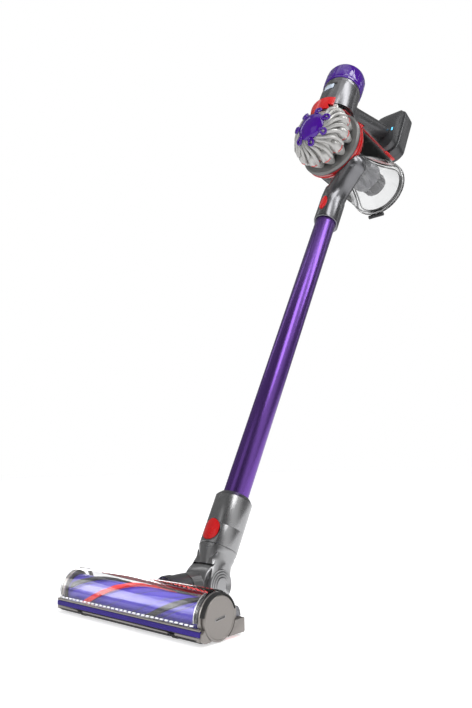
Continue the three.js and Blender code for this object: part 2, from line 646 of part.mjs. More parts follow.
function makeInletDuct() {
  const sockets = join(
    turned([[0, 0], [SOCKET_RADIUS - 0.8, 0], [SOCKET_RADIUS, 2], [SOCKET_RADIUS, SOCKET_LENGTH], [0, SOCKET_LENGTH]]),
    moved(rod(SOCKET_BULGE_RADIUS, SOCKET_BULGE_RADIUS - 3, 0, SOCKET_LENGTH + 6), 0, SOCKET_BULGE_Y, 0),
  );
  const pipe = swept(ductRoute, DUCT_RADIUS, 9);
  const end = new THREE.SphereGeometry(DUCT_RADIUS, 18, 10).translate(...ductRoute.at(-1));
  const passage = swept(ductRoute, DUCT_RADIUS - DUCT_WALL, 9);
  const socketBore = rod(WAND_RADIUS + GAP, WAND_RADIUS + GAP, -1, WAND_INSERT + 1);
  const throat = rod(WAND_RADIUS - 2, WAND_RADIUS - 2, 0, 60);
  const packRoom = toUnit(bin, rod(RIM_RADIUS + RUN, RIM_RADIUS + RUN, binBottom - 20, 90, BIN_SIDES));
  const buttonRoom = ovalFront(
    WAND_BUTTON_WIDTH + 2 * RUN,
    WAND_BUTTON_LENGTH + 2 * RUN,
    -40,
    -SOCKET_RADIUS + 2.6,
    wandButtonZ,
  );
  const solid = join(sockets, pipe, end);
  return cut(solid, passage, socketBore, throat, packRoom, buttonRoom);
}

const wandButtonZ = 31;

function makeBinBody() {
  const inner = BIN_RADIUS - BIN_WALL;
  const wall = ring(BIN_RADIUS, inner, binBottom + GAP, binTop, BIN_SIDES);
  const ears = [-1, 1].map((side) =>
    join(
      rodX(3.6, side * 12 - 3.5, side * 12 + 3.5, hingeY, hingeZ, FINE_SIDES),
      block(side * 12 - 3.5, side * 12 + 3.5, hingeY, -inner - 0.6, hingeZ, hingeZ + 5),
    ),
  );
  const pinHole = rodX(1.6, -30, 30, hingeY, hingeZ, 12);
  return cut(join(wall, ...ears), ductMouth(), pinHole);
}

const hingeY = -(LID_RADIUS + 5);
const hingeZ = binBottom + 1;

function makeCollar() {
  const inner = BIN_RADIUS - BIN_WALL - 4;
  const band = turned(
    [
      [BIN_RADIUS + 0.6, COLLAR_TOP - COLLAR_HEIGHT],
      [COLLAR_RADIUS, COLLAR_TOP - 8],
      [COLLAR_RADIUS, COLLAR_TOP],
      [inner, COLLAR_TOP],
      [inner, COLLAR_TOP - COLLAR_HEIGHT],
    ],
    BIN_SIDES,
  );
  return cut(band, ductMouth());
}

function makeLid() {
  const top = binBottom;
  const dish = turned(
    [
      [0, top - LID_THICKNESS],
      [20, top - LID_THICKNESS],
      [LID_RADIUS - 3, top - LID_THICKNESS + 2],
      [LID_RADIUS, top - 3],
      [LID_RADIUS, top],
      [LID_RADIUS - 4, top],
      [LID_RADIUS - 5, top - 3],
      [20, top - LID_THICKNESS + 3],
      [0, top - LID_THICKNESS + 3],
    ],
    BIN_SIDES,
  );
  const knuckle = rodX(3.6, -8.1, 8.1, hingeY, hingeZ, FINE_SIDES);
  const arm = block(-8.1, 8.1, hingeY, -LID_RADIUS + 2, top - 3, top - GAP);
  return cut(join(dish, knuckle, arm), rodX(1.9, -30, 30, hingeY, hingeZ, 12));
}

function makeLidSeal() {
  const outer = BIN_RADIUS - BIN_WALL - GAP;
  return ring(outer, outer - 2.6, binBottom + 0.3, binBottom + 3.4, BIN_SIDES);
}

/** Latch that hooks under the lid's edge at the handle side. */
function makeBinCatch() {
  const plate = block(-9, 31, LID_RADIUS + 0.5, LID_RADIUS + 3.2, binBottom - 7.5, binBottom + CATCH_HEIGHT);
  const lip = block(-7, 7, LID_RADIUS - 2.2, LID_RADIUS + 1, binBottom - 7.5, binBottom - 5);
  return join(plate, lip);
}

function makeRim() {
  const plate = turned(
    [
      [0, rimBottom],
      [RIM_RADIUS, rimBottom],
      [RIM_RADIUS, rimBottom + 3],
      [RIM_RADIUS - 3, rimBottom + 7],
      [CONE_RING_RADIUS - 8, rimBottom + 7],
      [CONE_RING_RADIUS - 8, rimBottom + 4],
      [0, rimBottom + 4],
    ],
    BIN_SIDES,
  );
  return cut(plate, rod(FILTER_BORE_RADIUS + 2, FILTER_BORE_RADIUS + 2, -30, 30));
}

/** One ring of small cones, point down, held in a common plate. */
function makeCones() {
  const base = rimBottom + 7 + GAP;
  const top = CROWN_BASE - GAP;
  const plate = ring(CROWN_RADIUS - 6, CONE_RING_RADIUS - 14, top - 3, top, BIN_SIDES);
  const cones = [];
  for (let i = 0; i < PETAL_COUNT; i += 1) {
    const angle = (2 * Math.PI * (i + 0.5)) / PETAL_COUNT;
    const x = CONE_RING_RADIUS * Math.cos(angle);
    const y = CONE_RING_RADIUS * Math.sin(angle);
    cones.push(moved(rod(3.4, 9, base, top - 1, FINE_SIDES), x, y, 0));
  }
  return join(plate, ...cones);
}

/** Domed crown whose edge is scalloped, one lobe over each cone. */
function makeCrown() {
  const dome = turned(
    [
      [0, CROWN_BASE],
      [CROWN_RADIUS - 8, CROWN_BASE],
      [CROWN_RADIUS - 7, CROWN_BASE + 12],
      [CROWN_RADIUS - 17, CROWN_BASE + 26],
      [PRE_FILTER_CAP_RADIUS + 2, CROWN_TOP],
      [0, CROWN_TOP],
    ],
    BIN_SIDES,
  );
  const lobes = [];
  for (let i = 0; i < PETAL_COUNT; i += 1) {
    const angle = (2 * Math.PI * (i + 0.5)) / PETAL_COUNT;
    const radius = CROWN_RADIUS - 12;
    const lobe = rod(12, 9, CROWN_BASE, CROWN_BASE + 16, FINE_SIDES);
    lobes.push(moved(lobe, radius * Math.cos(angle), radius * Math.sin(angle), 0));
  }
  const bore = rod(FILTER_BORE_RADIUS, FILTER_BORE_RADIUS, 0, 80);
  return cut(join(dome, ...lobes), bore);
}

function makeGasket() {
  const top = CROWN_BASE - GAP;
  return ring(CROWN_RADIUS - 2.4, CROWN_RADIUS - 3.6, top - 2.4, top - 0.2, BIN_SIDES);
}

function makeShroud() {
  const top = rimBottom - GAP;
  return turned(
    [
      [SHROUD_STEP_RADIUS - 4, -124],
      [SHROUD_STEP_RADIUS, -122],
      [SHROUD_STEP_RADIUS, -88],
      [SHROUD_RADIUS, -84],
      [SHROUD_RADIUS, top],
      [SHROUD_RADIUS - WALL, top],
      [SHROUD_RADIUS - WALL, -82],
      [SHROUD_STEP_RADIUS - WALL, -86],
      [SHROUD_STEP_RADIUS - WALL, -120],
      [SHROUD_STEP_RADIUS - 6, -122],
      [SHROUD_STEP_RADIUS - 6, -124],
    ],
    SIDES,
  );
}

function makeShroudSkirt() {
  return turned(
    [
      [0, -160],
      [SKIRT_RADIUS - 2, -160],
      [SKIRT_RADIUS, -157],
      [SKIRT_RADIUS, -126],
      [SHROUD_STEP_RADIUS - 6.4, -124.3],
      [SHROUD_STEP_RADIUS - 6.4, -121],
      [SKIRT_RADIUS - 3, -121],
      [SKIRT_RADIUS - 3, -156],
      [0, -156],
    ],
    SIDES,
  );
}

/** Release handle, a crescent in front of the motor housing's foot. */
function makeLiftLever() {
  const axisY = -MOTOR_OFFSET;
  const band = moved(ring(HOUSING_RADIUS + 5, HOUSING_RADIUS + 1.2, 180, 209), 0, axisY, 0);
  const lip = moved(ring(HOUSING_RADIUS + 7.5, HOUSING_RADIUS + 1.2, 203, 209), 0, axisY, 0);
  const keep = block(-LEVER_HALF, LEVER_HALF, axisY - 60, axisY - 18, 170, 220);
  const lobeRoom = toUnit(bin, rod(CROWN_RADIUS + 1, CROWN_RADIUS + 1, 0, CROWN_BASE + 16.5));
  const domeRoom = toUnit(bin, rod(CROWN_RADIUS - 9.5, CROWN_RADIUS - 9.5, 0, 80));
  return cut(common(join(band, lip), keep), lobeRoom, domeRoom);
}

function makePushRod() {
  const inner = RIM_RADIUS + 0.8;
  const end = binBottom + CATCH_HEIGHT + CATCH_TRAVEL + 1;
  return block(27, 31, Math.sqrt(inner ** 2 - 27 ** 2), 58.4, end, rimBottom + 10);
}

function makePreFilterCap() {
  const base = CROWN_TOP + GAP;
  const dome = turned(
    [
      [0, base],
      [PRE_FILTER_CAP_RADIUS, base],
      [PRE_FILTER_CAP_RADIUS, base + 2.5],
      [PRE_FILTER_CAP_RADIUS - 4, base + 7],
      [PRE_FILTER_CAP_RADIUS - 12, base + 10],
      [0, base + 11],
    ],
    SIDES,
  );
  const stalk = rod(FILTER_BORE_RADIUS - RUN, FILTER_BORE_RADIUS - RUN, base - 12, base + 1, 24);
  return join(dome, stalk);
}

function makePreFilter() {
  const top = CROWN_TOP + GAP - 12 - GAP;
  return ring(FILTER_BORE_RADIUS - 1.5, 5, top - PRE_FILTER_LENGTH, top, 24);
}

part(unit, "inlet_duct", "nickel", makeInletDuct());
part(
  unit,
  "wand_release_button",
  "red",
  makeButton(WAND_BUTTON_WIDTH, WAND_BUTTON_LENGTH, SOCKET_RADIUS, 1.2, 1.4, wandButtonZ),
);
part(bin, "bin_body", "clear", makeBinBody());
part(bin, "bin_collar", "red_clear", makeCollar());
part(bin, "bin_hinge_pin", "steel", rodX(1.4, -15, 15, hingeY, hingeZ, 12));
part(bin, "bin_lid", "clear", makeLid());
part(bin, "lid_seal", "rubber", makeLidSeal());
part(bin, "bin_catch", "red", makeBinCatch());
part(bin, "cyclone_rim", "dark_grey", makeRim());
part(bin, "cyclone_cones", "light_grey", makeCones());
part(bin, "cyclone_crown", "light_grey", makeCrown());
part(bin, "crown_gasket", "red", makeGasket());
part(bin, "shroud", "dark_grey", makeShroud());
part(bin, "shroud_skirt", "black", makeShroudSkirt());
part(unit, "lift_lever", "red", makeLiftLever());
part(bin, "push_rod", "red", makePushRod());
part(bin, "pre_filter_cap", "violet_clear", makePreFilterCap());
part(bin, "pre_filter", "paper", makePreFilter());

// ---------------------------------------------- motor housing and filter

/** Everything on the handle side of a plane alongside the cyclone pack. */
function handleSide(distance) {
  return toUnit(bin, block(-80, 80, distance, 400, -200, 200));
}

const packSide = RIM_RADIUS + 2.5;

function atMotor(geometry) {
  return geometry.clone().translate(0, -MOTOR_OFFSET, 0);
}

function makeMotorHousing() {
  const low = 150;
  const outer = common(atMotor(rod(HOUSING_RADIUS, HOUSING_RADIUS, low, HOUSING_TOP)), handleSide(packSide));
  const room = common(
    atMotor(rod(HOUSING_RADIUS - WALL, HOUSING_RADIUS - WALL, low, HOUSING_TOP + 1)),
    handleSide(packSide + WALL),
  );
  const airHole = atMotor(rod(13, 13, low, HOUSING_TOP, FINE_SIDES));
  return cut(outer, room, airHole, sliderSector(HOUSING_RADIUS - 1.3, HOUSING_RADIUS + 5, 30, sliderHeight + 1));
}

const sliderZ = 252.6;
const sliderHeight = 14;

/** Sector of a ring round the motor axis, centred on the front. */
function sliderSector(inner, outer, width, height) {
  const band = atMotor(ring(outer, inner, sliderZ - height / 2, sliderZ + height / 2));
  const keep = block(-width / 2, width / 2, -MOTOR_OFFSET - 60, -MOTOR_OFFSET - 10, sliderZ - 30, sliderZ + 30);
  return common(band, keep);
}

function makeModeSlider() {
  const body = sliderSector(HOUSING_RADIUS - 0.9, HOUSING_RADIUS + 1.6, 19, sliderHeight - 1);
  return moved(body, 0, 0, 0);
}

function makeMotor() {
  const base = HOUSING_TOP - 42;
  const can = ring(MOTOR_RADIUS, 5, base, base + MOTOR_HEIGHT);
  const flange = ring(HOUSING_RADIUS - WALL - GAP, MOTOR_RADIUS - 1, base + 8, base + 10.5);
  return atMotor(join(can, flange));
}

function makeRotor() {
  const base = HOUSING_TOP - 42 - 10;
  const shaft = rod(3, 3, base, base + 30, FINE_SIDES);
  const hub = rod(IMPELLER_RADIUS, 8, base, base + 7, SIDES);
  return atMotor(join(shaft, hub));
}

function makeControlBoard() {
  const base = HOUSING_TOP - 42 + MOTOR_HEIGHT + 1.4;
  return atMotor(cut(block(-17, 17, -15, 15, base, base + 1.6), rod(6, 6, base - 1, base + 3, FINE_SIDES)));
}

function makeBayonetRing() {
  const base = HOUSING_TOP + GAP;
  const band = ring(CAP_RADIUS, HOUSING_RADIUS - WALL - 1, base, base + BAYONET_HEIGHT);
  const tongue = ring(HOUSING_RADIUS - WALL - RUN, HOUSING_RADIUS - WALL - 2.2, base - 5, base + 1);
  return atMotor(join(band, tongue));
}

const filterBase = HOUSING_TOP + GAP + BAYONET_HEIGHT + GAP;

function makeFilterCap() {
  const top = filterBase - GAP - BAYONET_HEIGHT + CAP_LENGTH;
  const cup = turned([
    [CAP_RADIUS, filterBase],
    [CAP_RADIUS, top - 5],
    [CAP_RADIUS - 3, top - 1],
    [CAP_RADIUS - 7, top],
    [0, top],
    [0, top - WALL],
    [CAP_RADIUS - 8, top - WALL],
    [CAP_RADIUS - WALL, top - 7],
    [CAP_RADIUS - WALL, filterBase],
  ]);
  const slots = [];
  const slotCount = 12;
  for (let i = 0; i < slotCount; i += 1) {
    const slot = block(-1.4, 1.4, 17, 27, top - 6, top + 2);
    slots.push(slot.rotateZ((2 * Math.PI * i) / slotCount));
  }
  return atMotor(cut(cup, ...slots));
}

/** Pleated paper sleeve inside the cap. */
function makeFilterPleats() {
  const folds = 24;
  const outline = new THREE.Shape();
  for (let i = 0; i < folds * 2; i += 1) {
    const radius = i % 2 ? FILTER_RADIUS - 4.5 : FILTER_RADIUS;
    const angle = (Math.PI * i) / folds;
    const point = [radius * Math.cos(angle), radius * Math.sin(angle)];
    if (i === 0) outline.moveTo(...point);
    else outline.lineTo(...point);
  }
  outline.closePath();
  const height = CAP_LENGTH + 4;
  const sleeve = new THREE.ExtrudeGeometry(outline, { depth: height, bevelEnabled: false });
  const base = filterBase - BAYONET_HEIGHT - 12;
  const bore = rod(FILTER_RADIUS - 9, FILTER_RADIUS - 9, -1, height + 1);
  return atMotor(moved(cut(sleeve, bore), 0, 0, base));
}

part(unit, "motor_housing", "nickel", makeMotorHousing());
part(unit, "mode_slider", "blue_light", makeModeSlider());
part(unit, "motor", "steel", makeMotor());
part(unit, "rotor", "copper", makeRotor());
part(unit, "control_board", "board", makeControlBoard());
part(unit, "bayonet_ring", "violet_clear", makeBayonetRing());
part(unit, "filter_cap", "violet_clear", makeFilterCap());
part(unit, "filter_pleats", "paper", makeFilterPleats());

// ------------------------------------------------------ handle and battery

const handleLength = (BATTERY_FRONT_Y - 8 - handleRootY) / Math.sin(-HANDLE_TILT);
const batteryCentre = BATTERY_BOTTOM + BATTERY_LENGTH / 2;

function makeHandle() {
  const grip = rod(HANDLE_RADIUS, HANDLE_RADIUS, -16, handleLength, SIDES);
  const core = rod(HANDLE_RADIUS - HANDLE_WALL, HANDLE_RADIUS - HANDLE_WALL, -20, handleLength + 5, SIDES);
  const triggerSlot = block(-7.6, 7.6, 5, 30, 8, 42);
  const housingRoom = atMotor(rod(HOUSING_RADIUS + GAP, HOUSING_RADIUS + GAP, 100, 400));
  const capRoom = atMotor(rod(CAP_RADIUS + RUN, CAP_RADIUS + RUN, HOUSING_TOP, 400));
  return cut(toUnit(handle, cut(grip, core, triggerSlot)), housingRoom, capRoom);
}

/** Finger trigger, hinged at its end near the motor housing. */
function makeTrigger() {
  const outline = [
    [13.4, 10],
    [17.5, 10],
    [20.5, 16],
    [21.5, 24],
    [20, 33],
    [17.5, 39],
    [12.5, 39],
    [9.5, 24],
  ];
  return slabX(outline, 14);
}

/** Switch behind the trigger, on a rib of the far wall of the handle. */
function makeTriggerSwitch() {
  return block(-4, 4, -HANDLE_RADIUS + HANDLE_WALL + 1.2, 6.5, 24, 36);
}

/** Runner behind the bin that the bin slides on. */
function makeSpine() {
  const end = binBottom + CATCH_HEIGHT + 4;
  const band = ring(RIM_RADIUS + 4.4, RIM_RADIUS + 1.2, end, SPINE_TOP, 48);
  const keep = block(-SPINE_HALF, SPINE_HALF, 0, 90, end, SPINE_TOP);
  return cut(common(band, keep), intoBin(atMotor(rod(HOUSING_RADIUS + GAP, HOUSING_RADIUS + GAP, 100, 400))));
}

function makeDock() {
  const back = BATTERY_FRONT_Y - GAP;
  const outline = [
    [back, BATTERY_BOTTOM + 6],
    [back, BATTERY_BOTTOM + BATTERY_LENGTH - 7],
    [back - 5, BATTERY_BOTTOM + BATTERY_LENGTH - 9],
    [back - 20, BATTERY_BOTTOM + 74],
    [back - 20, BATTERY_BOTTOM + 40],
    [back - 12, BATTERY_BOTTOM + 6],
  ];
  const gripRoom = toUnit(handle, rod(HANDLE_RADIUS + GAP, HANDLE_RADIUS + GAP, -20, handleLength + GAP, SIDES));
  return cut(slabX(outline, DOCK_WIDTH), gripRoom, ...screwPlaces.map((z) => screwHole(z)));
}

const screwPlaces = [BATTERY_BOTTOM + 16, BATTERY_BOTTOM + 100];

function screwHole(z) {
  const back = BATTERY_FRONT_Y - GAP;
  return join(rodY(2.4, back - 9, back + 1, 0, z, 16), rodY(4.4, back - 60, back - 7, 0, z, 16));
}

function makeScrew(z) {
  const back = BATTERY_FRONT_Y - GAP;
  const drive = block(-2.2, 2.2, back - 12, back - 8.6, z - 0.5, z + 0.5);
  return cut(join(rodY(2, back - 8, back - 0.5, 0, z, 16), rodY(3.9, back - 9.6, back - 7.3, 0, z, 16)), drive);
}

function makeBatteryCase() {
  const y0 = BATTERY_FRONT_Y;
  const y1 = BATTERY_FRONT_Y + BATTERY_DEPTH;
  const outer = pad(BATTERY_WIDTH, BATTERY_LENGTH, BATTERY_CORNER, y0, y1, batteryCentre);
  const room = pad(
    BATTERY_WIDTH - 2 * WALL,
    BATTERY_LENGTH - 2 * WALL,
    BATTERY_CORNER - WALL,
    y0 - 1,
    y1 - WALL,
    batteryCentre,
  );
  return cut(outer, room);
}

/** Six round cells in two rows of three, welded together by strips. */
function makeCells() {
  const y = BATTERY_FRONT_Y + BATTERY_DEPTH / 2;
  const pitch = 2 * CELL_RADIUS + 0.2;
  const shapes = [];
  for (const row of [-1, 1]) {
    const middle = batteryCentre + (row * (CELL_LENGTH + 0.8)) / 2;
    for (const column of [-1, 0, 1]) {
      const low = middle - CELL_LENGTH / 2;
      const high = middle + CELL_LENGTH / 2;
      shapes.push(moved(rod(CELL_RADIUS, CELL_RADIUS, low, high, FINE_SIDES), column * pitch, y, 0));
    }
  }
  shapes.push(block(-pitch - 4, pitch + 4, y - 4, y + 4, batteryCentre - 8, batteryCentre + 8));
  return join(...shapes);
}

function makeIndicator() {
  const y = BATTERY_FRONT_Y - GAP - 20;
  return block(21, 23.4, y - 1.2, y - GAP, BATTERY_BOTTOM + 42, BATTERY_BOTTOM + 50);
}

part(unit, "handle_grip", "dark_grey", makeHandle());
part(handle, "trigger", "red", makeTrigger());
part(handle, "trigger_switch", "black", makeTriggerSwitch());
part(bin, "runner_spine", "dark_grey", makeSpine());
part(unit, "battery_dock", "dark_grey", makeDock());
part(unit, "battery_case", "dark_grey", makeBatteryCase());
part(unit, "battery_cells", "cell_wrap", makeCells());
screwPlaces.forEach((z, i) => part(unit, `battery_screw_${i + 1}`, "steel", makeScrew(z)));
part(unit, "charge_light", "blue_light", makeIndicator());

// origin on the floor, below the middle of the bounding box
const box = new THREE.Box3().setFromObject(vacuum, true);
vacuum.position.set(-(box.min.x + box.max.x) / 2, -(box.min.y + box.max.y) / 2, -box.min.z);

export default vacuum;
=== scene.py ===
"""Cordless stick vacuum, dressed on its CAD frame.

Pieces are modelled in millimetres in the frame of their own sub-assembly and
then placed in the object's frame in metres.
"""

import logging
from dataclasses import dataclass, field
from enum import Enum
from math import cos, pi, radians, sin, tan

import bpy
from mathutils import Matrix, Vector

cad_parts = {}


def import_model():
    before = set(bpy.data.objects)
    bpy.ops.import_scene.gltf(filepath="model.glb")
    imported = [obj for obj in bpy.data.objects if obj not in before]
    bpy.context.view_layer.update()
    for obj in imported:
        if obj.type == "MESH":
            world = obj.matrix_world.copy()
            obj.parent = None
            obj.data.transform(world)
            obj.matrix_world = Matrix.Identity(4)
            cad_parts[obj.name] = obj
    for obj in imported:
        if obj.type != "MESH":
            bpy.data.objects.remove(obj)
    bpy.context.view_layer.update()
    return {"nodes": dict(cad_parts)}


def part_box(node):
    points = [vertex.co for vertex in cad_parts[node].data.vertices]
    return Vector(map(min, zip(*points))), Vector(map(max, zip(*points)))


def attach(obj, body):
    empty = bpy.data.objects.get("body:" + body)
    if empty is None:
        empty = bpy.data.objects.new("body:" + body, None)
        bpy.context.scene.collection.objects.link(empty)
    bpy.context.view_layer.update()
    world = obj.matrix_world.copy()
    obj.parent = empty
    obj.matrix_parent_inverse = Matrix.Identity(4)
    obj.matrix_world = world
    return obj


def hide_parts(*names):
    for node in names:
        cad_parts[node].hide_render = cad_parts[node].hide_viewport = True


LOG = logging.getLogger("vacuum")
Points = list[tuple[float, float, float]]
Profile = list[tuple[float, float]]
AXLE_TURN = Matrix(((0, 0, 1, 0), (1, 0, 0, 0), (0, 1, 0, 0), (0, 0, 0, 1)))


class Body(Enum):
    """Rigid bodies of the frame that new pieces ride on."""

    UNIT = "handheld"
    TRIGGER = "trigger"
    SLIDER = "mode_slider"
    BAYONET = "bayonet"
    FILTER = "exhaust_filter"
    UNIT_BUTTON = "unit_button"
    CYCLONES = "cyclone_pack"
    PRE_FILTER = "pre_filter_unit"
    ROD = "push_rod"
    BIN = "dust_bin"
    LID = "bin_lid"
    CATCH = "bin_catch"
    WAND = "wand"
    HEAD_BUTTON = "head_button"
    NECK = "neck"
    ELBOW = "elbow"
    HEAD = "floor_head"
    BRUSH = "brush_bar"
    ROLLER_LEFT = "roller_left"
    ROLLER_RIGHT = "roller_right"
    END_CAP = "end_cap"


class Cut(Enum):
    """Ways one solid works on another."""

    AWAY = "DIFFERENCE"
    KEEP = "INTERSECT"
    ADD = "UNION"


# ------------------------------------------------------------------ finishes


def surface_group() -> bpy.types.NodeTree:
    """Group that breaks up a moulded or painted surface.

    Returns:
        A node group with colour, roughness and bump height outputs.
    """
    found = bpy.data.node_groups.get("surface_breakup")
    if found:
        return found
    group = bpy.data.node_groups.new("surface_breakup", "ShaderNodeTree")
    face = group.interface
    for name, kind, value in (
        ("Colour", "NodeSocketColor", (0.5, 0.5, 0.5, 1.0)),
        ("Variation", "NodeSocketFloat", 0.05),
        ("Grain Scale", "NodeSocketFloat", 900.0),
        ("Roughness", "NodeSocketFloat", 0.4),
        ("Roughness Spread", "NodeSocketFloat", 0.06),
    ):
        socket = face.new_socket(name, in_out="INPUT", socket_type=kind)
        socket.default_value = value
    for name, kind in (
        ("Colour", "NodeSocketColor"),
        ("Roughness", "NodeSocketFloat"),
        ("Height", "NodeSocketFloat"),
    ):
        face.new_socket(name, in_out="OUTPUT", socket_type=kind)
    nodes, links = group.nodes, group.links
    source, sink = nodes.new("NodeGroupInput"), nodes.new("NodeGroupOutput")
    place = nodes.new("ShaderNodeTexCoord")
    grain, cloud = nodes.new("ShaderNodeTexNoise"), nodes.new("ShaderNodeTexNoise")
    cloud.inputs["Scale"].default_value = 14.0
    cloud.inputs["Detail"].default_value = 3.0
    grain.inputs["Detail"].default_value = 2.0
    links.new(place.outputs["Object"], grain.inputs["Vector"])
    links.new(place.outputs["Object"], cloud.inputs["Vector"])
    links.new(source.outputs["Grain Scale"], grain.inputs["Scale"])
    tone = nodes.new("ShaderNodeMapRange")
    tone.inputs["From Min"].default_value = 0.3
    tone.inputs["From Max"].default_value = 0.7
    tone.inputs["To Min"].default_value = -0.5
    tone.inputs["To Max"].default_value = 0.5
    links.new(cloud.outputs["Fac"], tone.inputs["Value"])
    scaled = nodes.new("ShaderNodeMath")
    scaled.operation = "MULTIPLY_ADD"
    scaled.inputs[2].default_value = 1.0
    links.new(tone.outputs["Result"], scaled.inputs[0])
    links.new(source.outputs["Variation"], scaled.inputs[1])
    tint = nodes.new("ShaderNodeVectorMath")
    tint.operation = "SCALE"
    links.new(source.outputs["Colour"], tint.inputs[0])
    links.new(scaled.outputs["Value"], tint.inputs["Scale"])
    links.new(tint.outputs["Vector"], sink.inputs["Colour"])
    spread = nodes.new("ShaderNodeMath")
    spread.operation = "MULTIPLY_ADD"
    links.new(tone.outputs["Result"], spread.inputs[0])
    links.new(source.outputs["Roughness Spread"], spread.inputs[1])
    links.new(source.outputs["Roughness"], spread.inputs[2])
    links.new(spread.outputs["Value"], sink.inputs["Roughness"])
    links.new(grain.outputs["Fac"], sink.inputs["Height"])
    return group


@dataclass(frozen=True)
class Finish:
    """Opaque surface with its own breakup of tone and gloss."""

    name: str
    colour: tuple[float, float, float]
    roughness: float = 0.4
    metallic: float = 0.0
    variation: float = 0.06
    spread: float = 0.05
    grain: float = 1100.0
    bump: float = 0.02
    coat: float = 0.0
    sheen: float = 0.0

    def material(self) -> bpy.types.Material:
        """Builds the material once and returns it."""
        found = bpy.data.materials.get(self.name)
        if found:
            return found
        made = bpy.data.materials.new(self.name)
        made.use_nodes = True
        nodes, links = made.node_tree.nodes, made.node_tree.links
        shader = nodes["Principled BSDF"]
        group = nodes.new("ShaderNodeGroup")
        group.node_tree = surface_group()
        group.inputs["Colour"].default_value = (*self.colour, 1.0)
        group.inputs["Variation"].default_value = self.variation
        group.inputs["Grain Scale"].default_value = self.grain
        group.inputs["Roughness"].default_value = self.roughness
        group.inputs["Roughness Spread"].default_value = self.spread
        links.new(group.outputs["Colour"], shader.inputs["Base Color"])
        links.new(group.outputs["Roughness"], shader.inputs["Roughness"])
        bump = nodes.new("ShaderNodeBump")
        bump.inputs["Strength"].default_value = self.bump
        bump.inputs["Distance"].default_value = 0.0004
        links.new(group.outputs["Height"], bump.inputs["Height"])
        links.new(bump.outputs["Normal"], shader.inputs["Normal"])
        shader.inputs["Metallic"].default_value = self.metallic
        shader.inputs["Coat Weight"].default_value = self.coat
        shader.inputs["Coat Roughness"].default_value = 0.08
        shader.inputs["Sheen Weight"].default_value = self.sheen
        return made


@dataclass(frozen=True)
class Clear:
    """Clear or tinted moulding that lets light through to what it covers."""

    name: str
    colour: tuple[float, float, float]
    roughness: float = 0.03
    ior: float = 1.45
    transmission: float = 1.0
    shadow: float = 1.0
    coat: float = 0.6
    # Share of the colour kept at grazing angles; below 1 it paints shade along the clear shells' edges.
    edge: float = 0.3

    def material(self) -> bpy.types.Material:
        """Builds the material once and returns it."""
        found = bpy.data.materials.get(self.name)
        if found:
            return found
        made = bpy.data.materials.new(self.name)
        made.use_nodes = True
        nodes, links = made.node_tree.nodes, made.node_tree.links
        shader, sink = nodes["Principled BSDF"], nodes["Material Output"]
        shader.inputs["IOR"].default_value = self.ior
        shader.inputs["Transmission Weight"].default_value = self.transmission
        shader.inputs["Coat Weight"].default_value = self.coat
        shader.inputs["Coat IOR"].default_value = 1.9
        shader.inputs["Coat Roughness"].default_value = 0.04
        # Base colour darkens towards grazing angles by the edge factor: painted shade that draws dark
        # outlines along the edges of the clear shells.
        facing, edge = nodes.new("ShaderNodeLayerWeight"), nodes.new("ShaderNodeMix")
        facing.inputs["Blend"].default_value = 0.22
        edge.data_type = "RGBA"
        edge.inputs[6].default_value = (*self.colour, 1.0)
        edge.inputs[7].default_value = (*[c * self.edge for c in self.colour], 1.0)
        links.new(facing.outputs["Facing"], edge.inputs["Factor"])
        links.new(edge.outputs[2], shader.inputs["Base Color"])
        place, haze = nodes.new("ShaderNodeTexCoord"), nodes.new("ShaderNodeTexNoise")
        haze.inputs["Scale"].default_value = 60.0
        links.new(place.outputs["Object"], haze.inputs["Vector"])
        gloss = nodes.new("ShaderNodeMapRange")
        gloss.inputs["To Min"].default_value = self.roughness
        gloss.inputs["To Max"].default_value = self.roughness + 0.03
        links.new(haze.outputs["Fac"], gloss.inputs["Value"])
        links.new(gloss.outputs["Result"], shader.inputs["Roughness"])
        pass_light = nodes.new("ShaderNodeBsdfTransparent")
        pass_light.inputs["Color"].default_value = (*[c**0.5 for c in self.colour], 1.0)
        path, mix = nodes.new("ShaderNodeLightPath"), nodes.new("ShaderNodeMixShader")
        share = nodes.new("ShaderNodeMath")
        share.operation = "MULTIPLY"
        share.inputs[1].default_value = self.shadow
        links.new(path.outputs["Is Shadow Ray"], share.inputs[0])
        links.new(share.outputs["Value"], mix.inputs["Fac"])
        links.new(shader.outputs["BSDF"], mix.inputs[1])
        links.new(pass_light.outputs["BSDF"], mix.inputs[2])
        links.new(mix.outputs["Shader"], sink.inputs["Surface"])
        return made


@dataclass(frozen=True)
class Glow:
    """Lit lens, a little uneven as a diffuser is."""

    name: str
    colour: tuple[float, float, float]
    strength: float = 1.0

    def material(self) -> bpy.types.Material:
        """Builds the material once and returns it."""
        found = bpy.data.materials.get(self.name)
        if found:
            return found
        made = Finish(self.name, self.colour, 0.2, 0.0, 0.3, 0.05, 700.0, 0.05).material()
        nodes, links = made.node_tree.nodes, made.node_tree.links
        group = next(node for node in nodes if node.type == "GROUP")
        shader = nodes["Principled BSDF"]
        links.new(group.outputs["Colour"], shader.inputs["Emission Color"])
        shader.inputs["Emission Strength"].default_value = self.strength
        return made


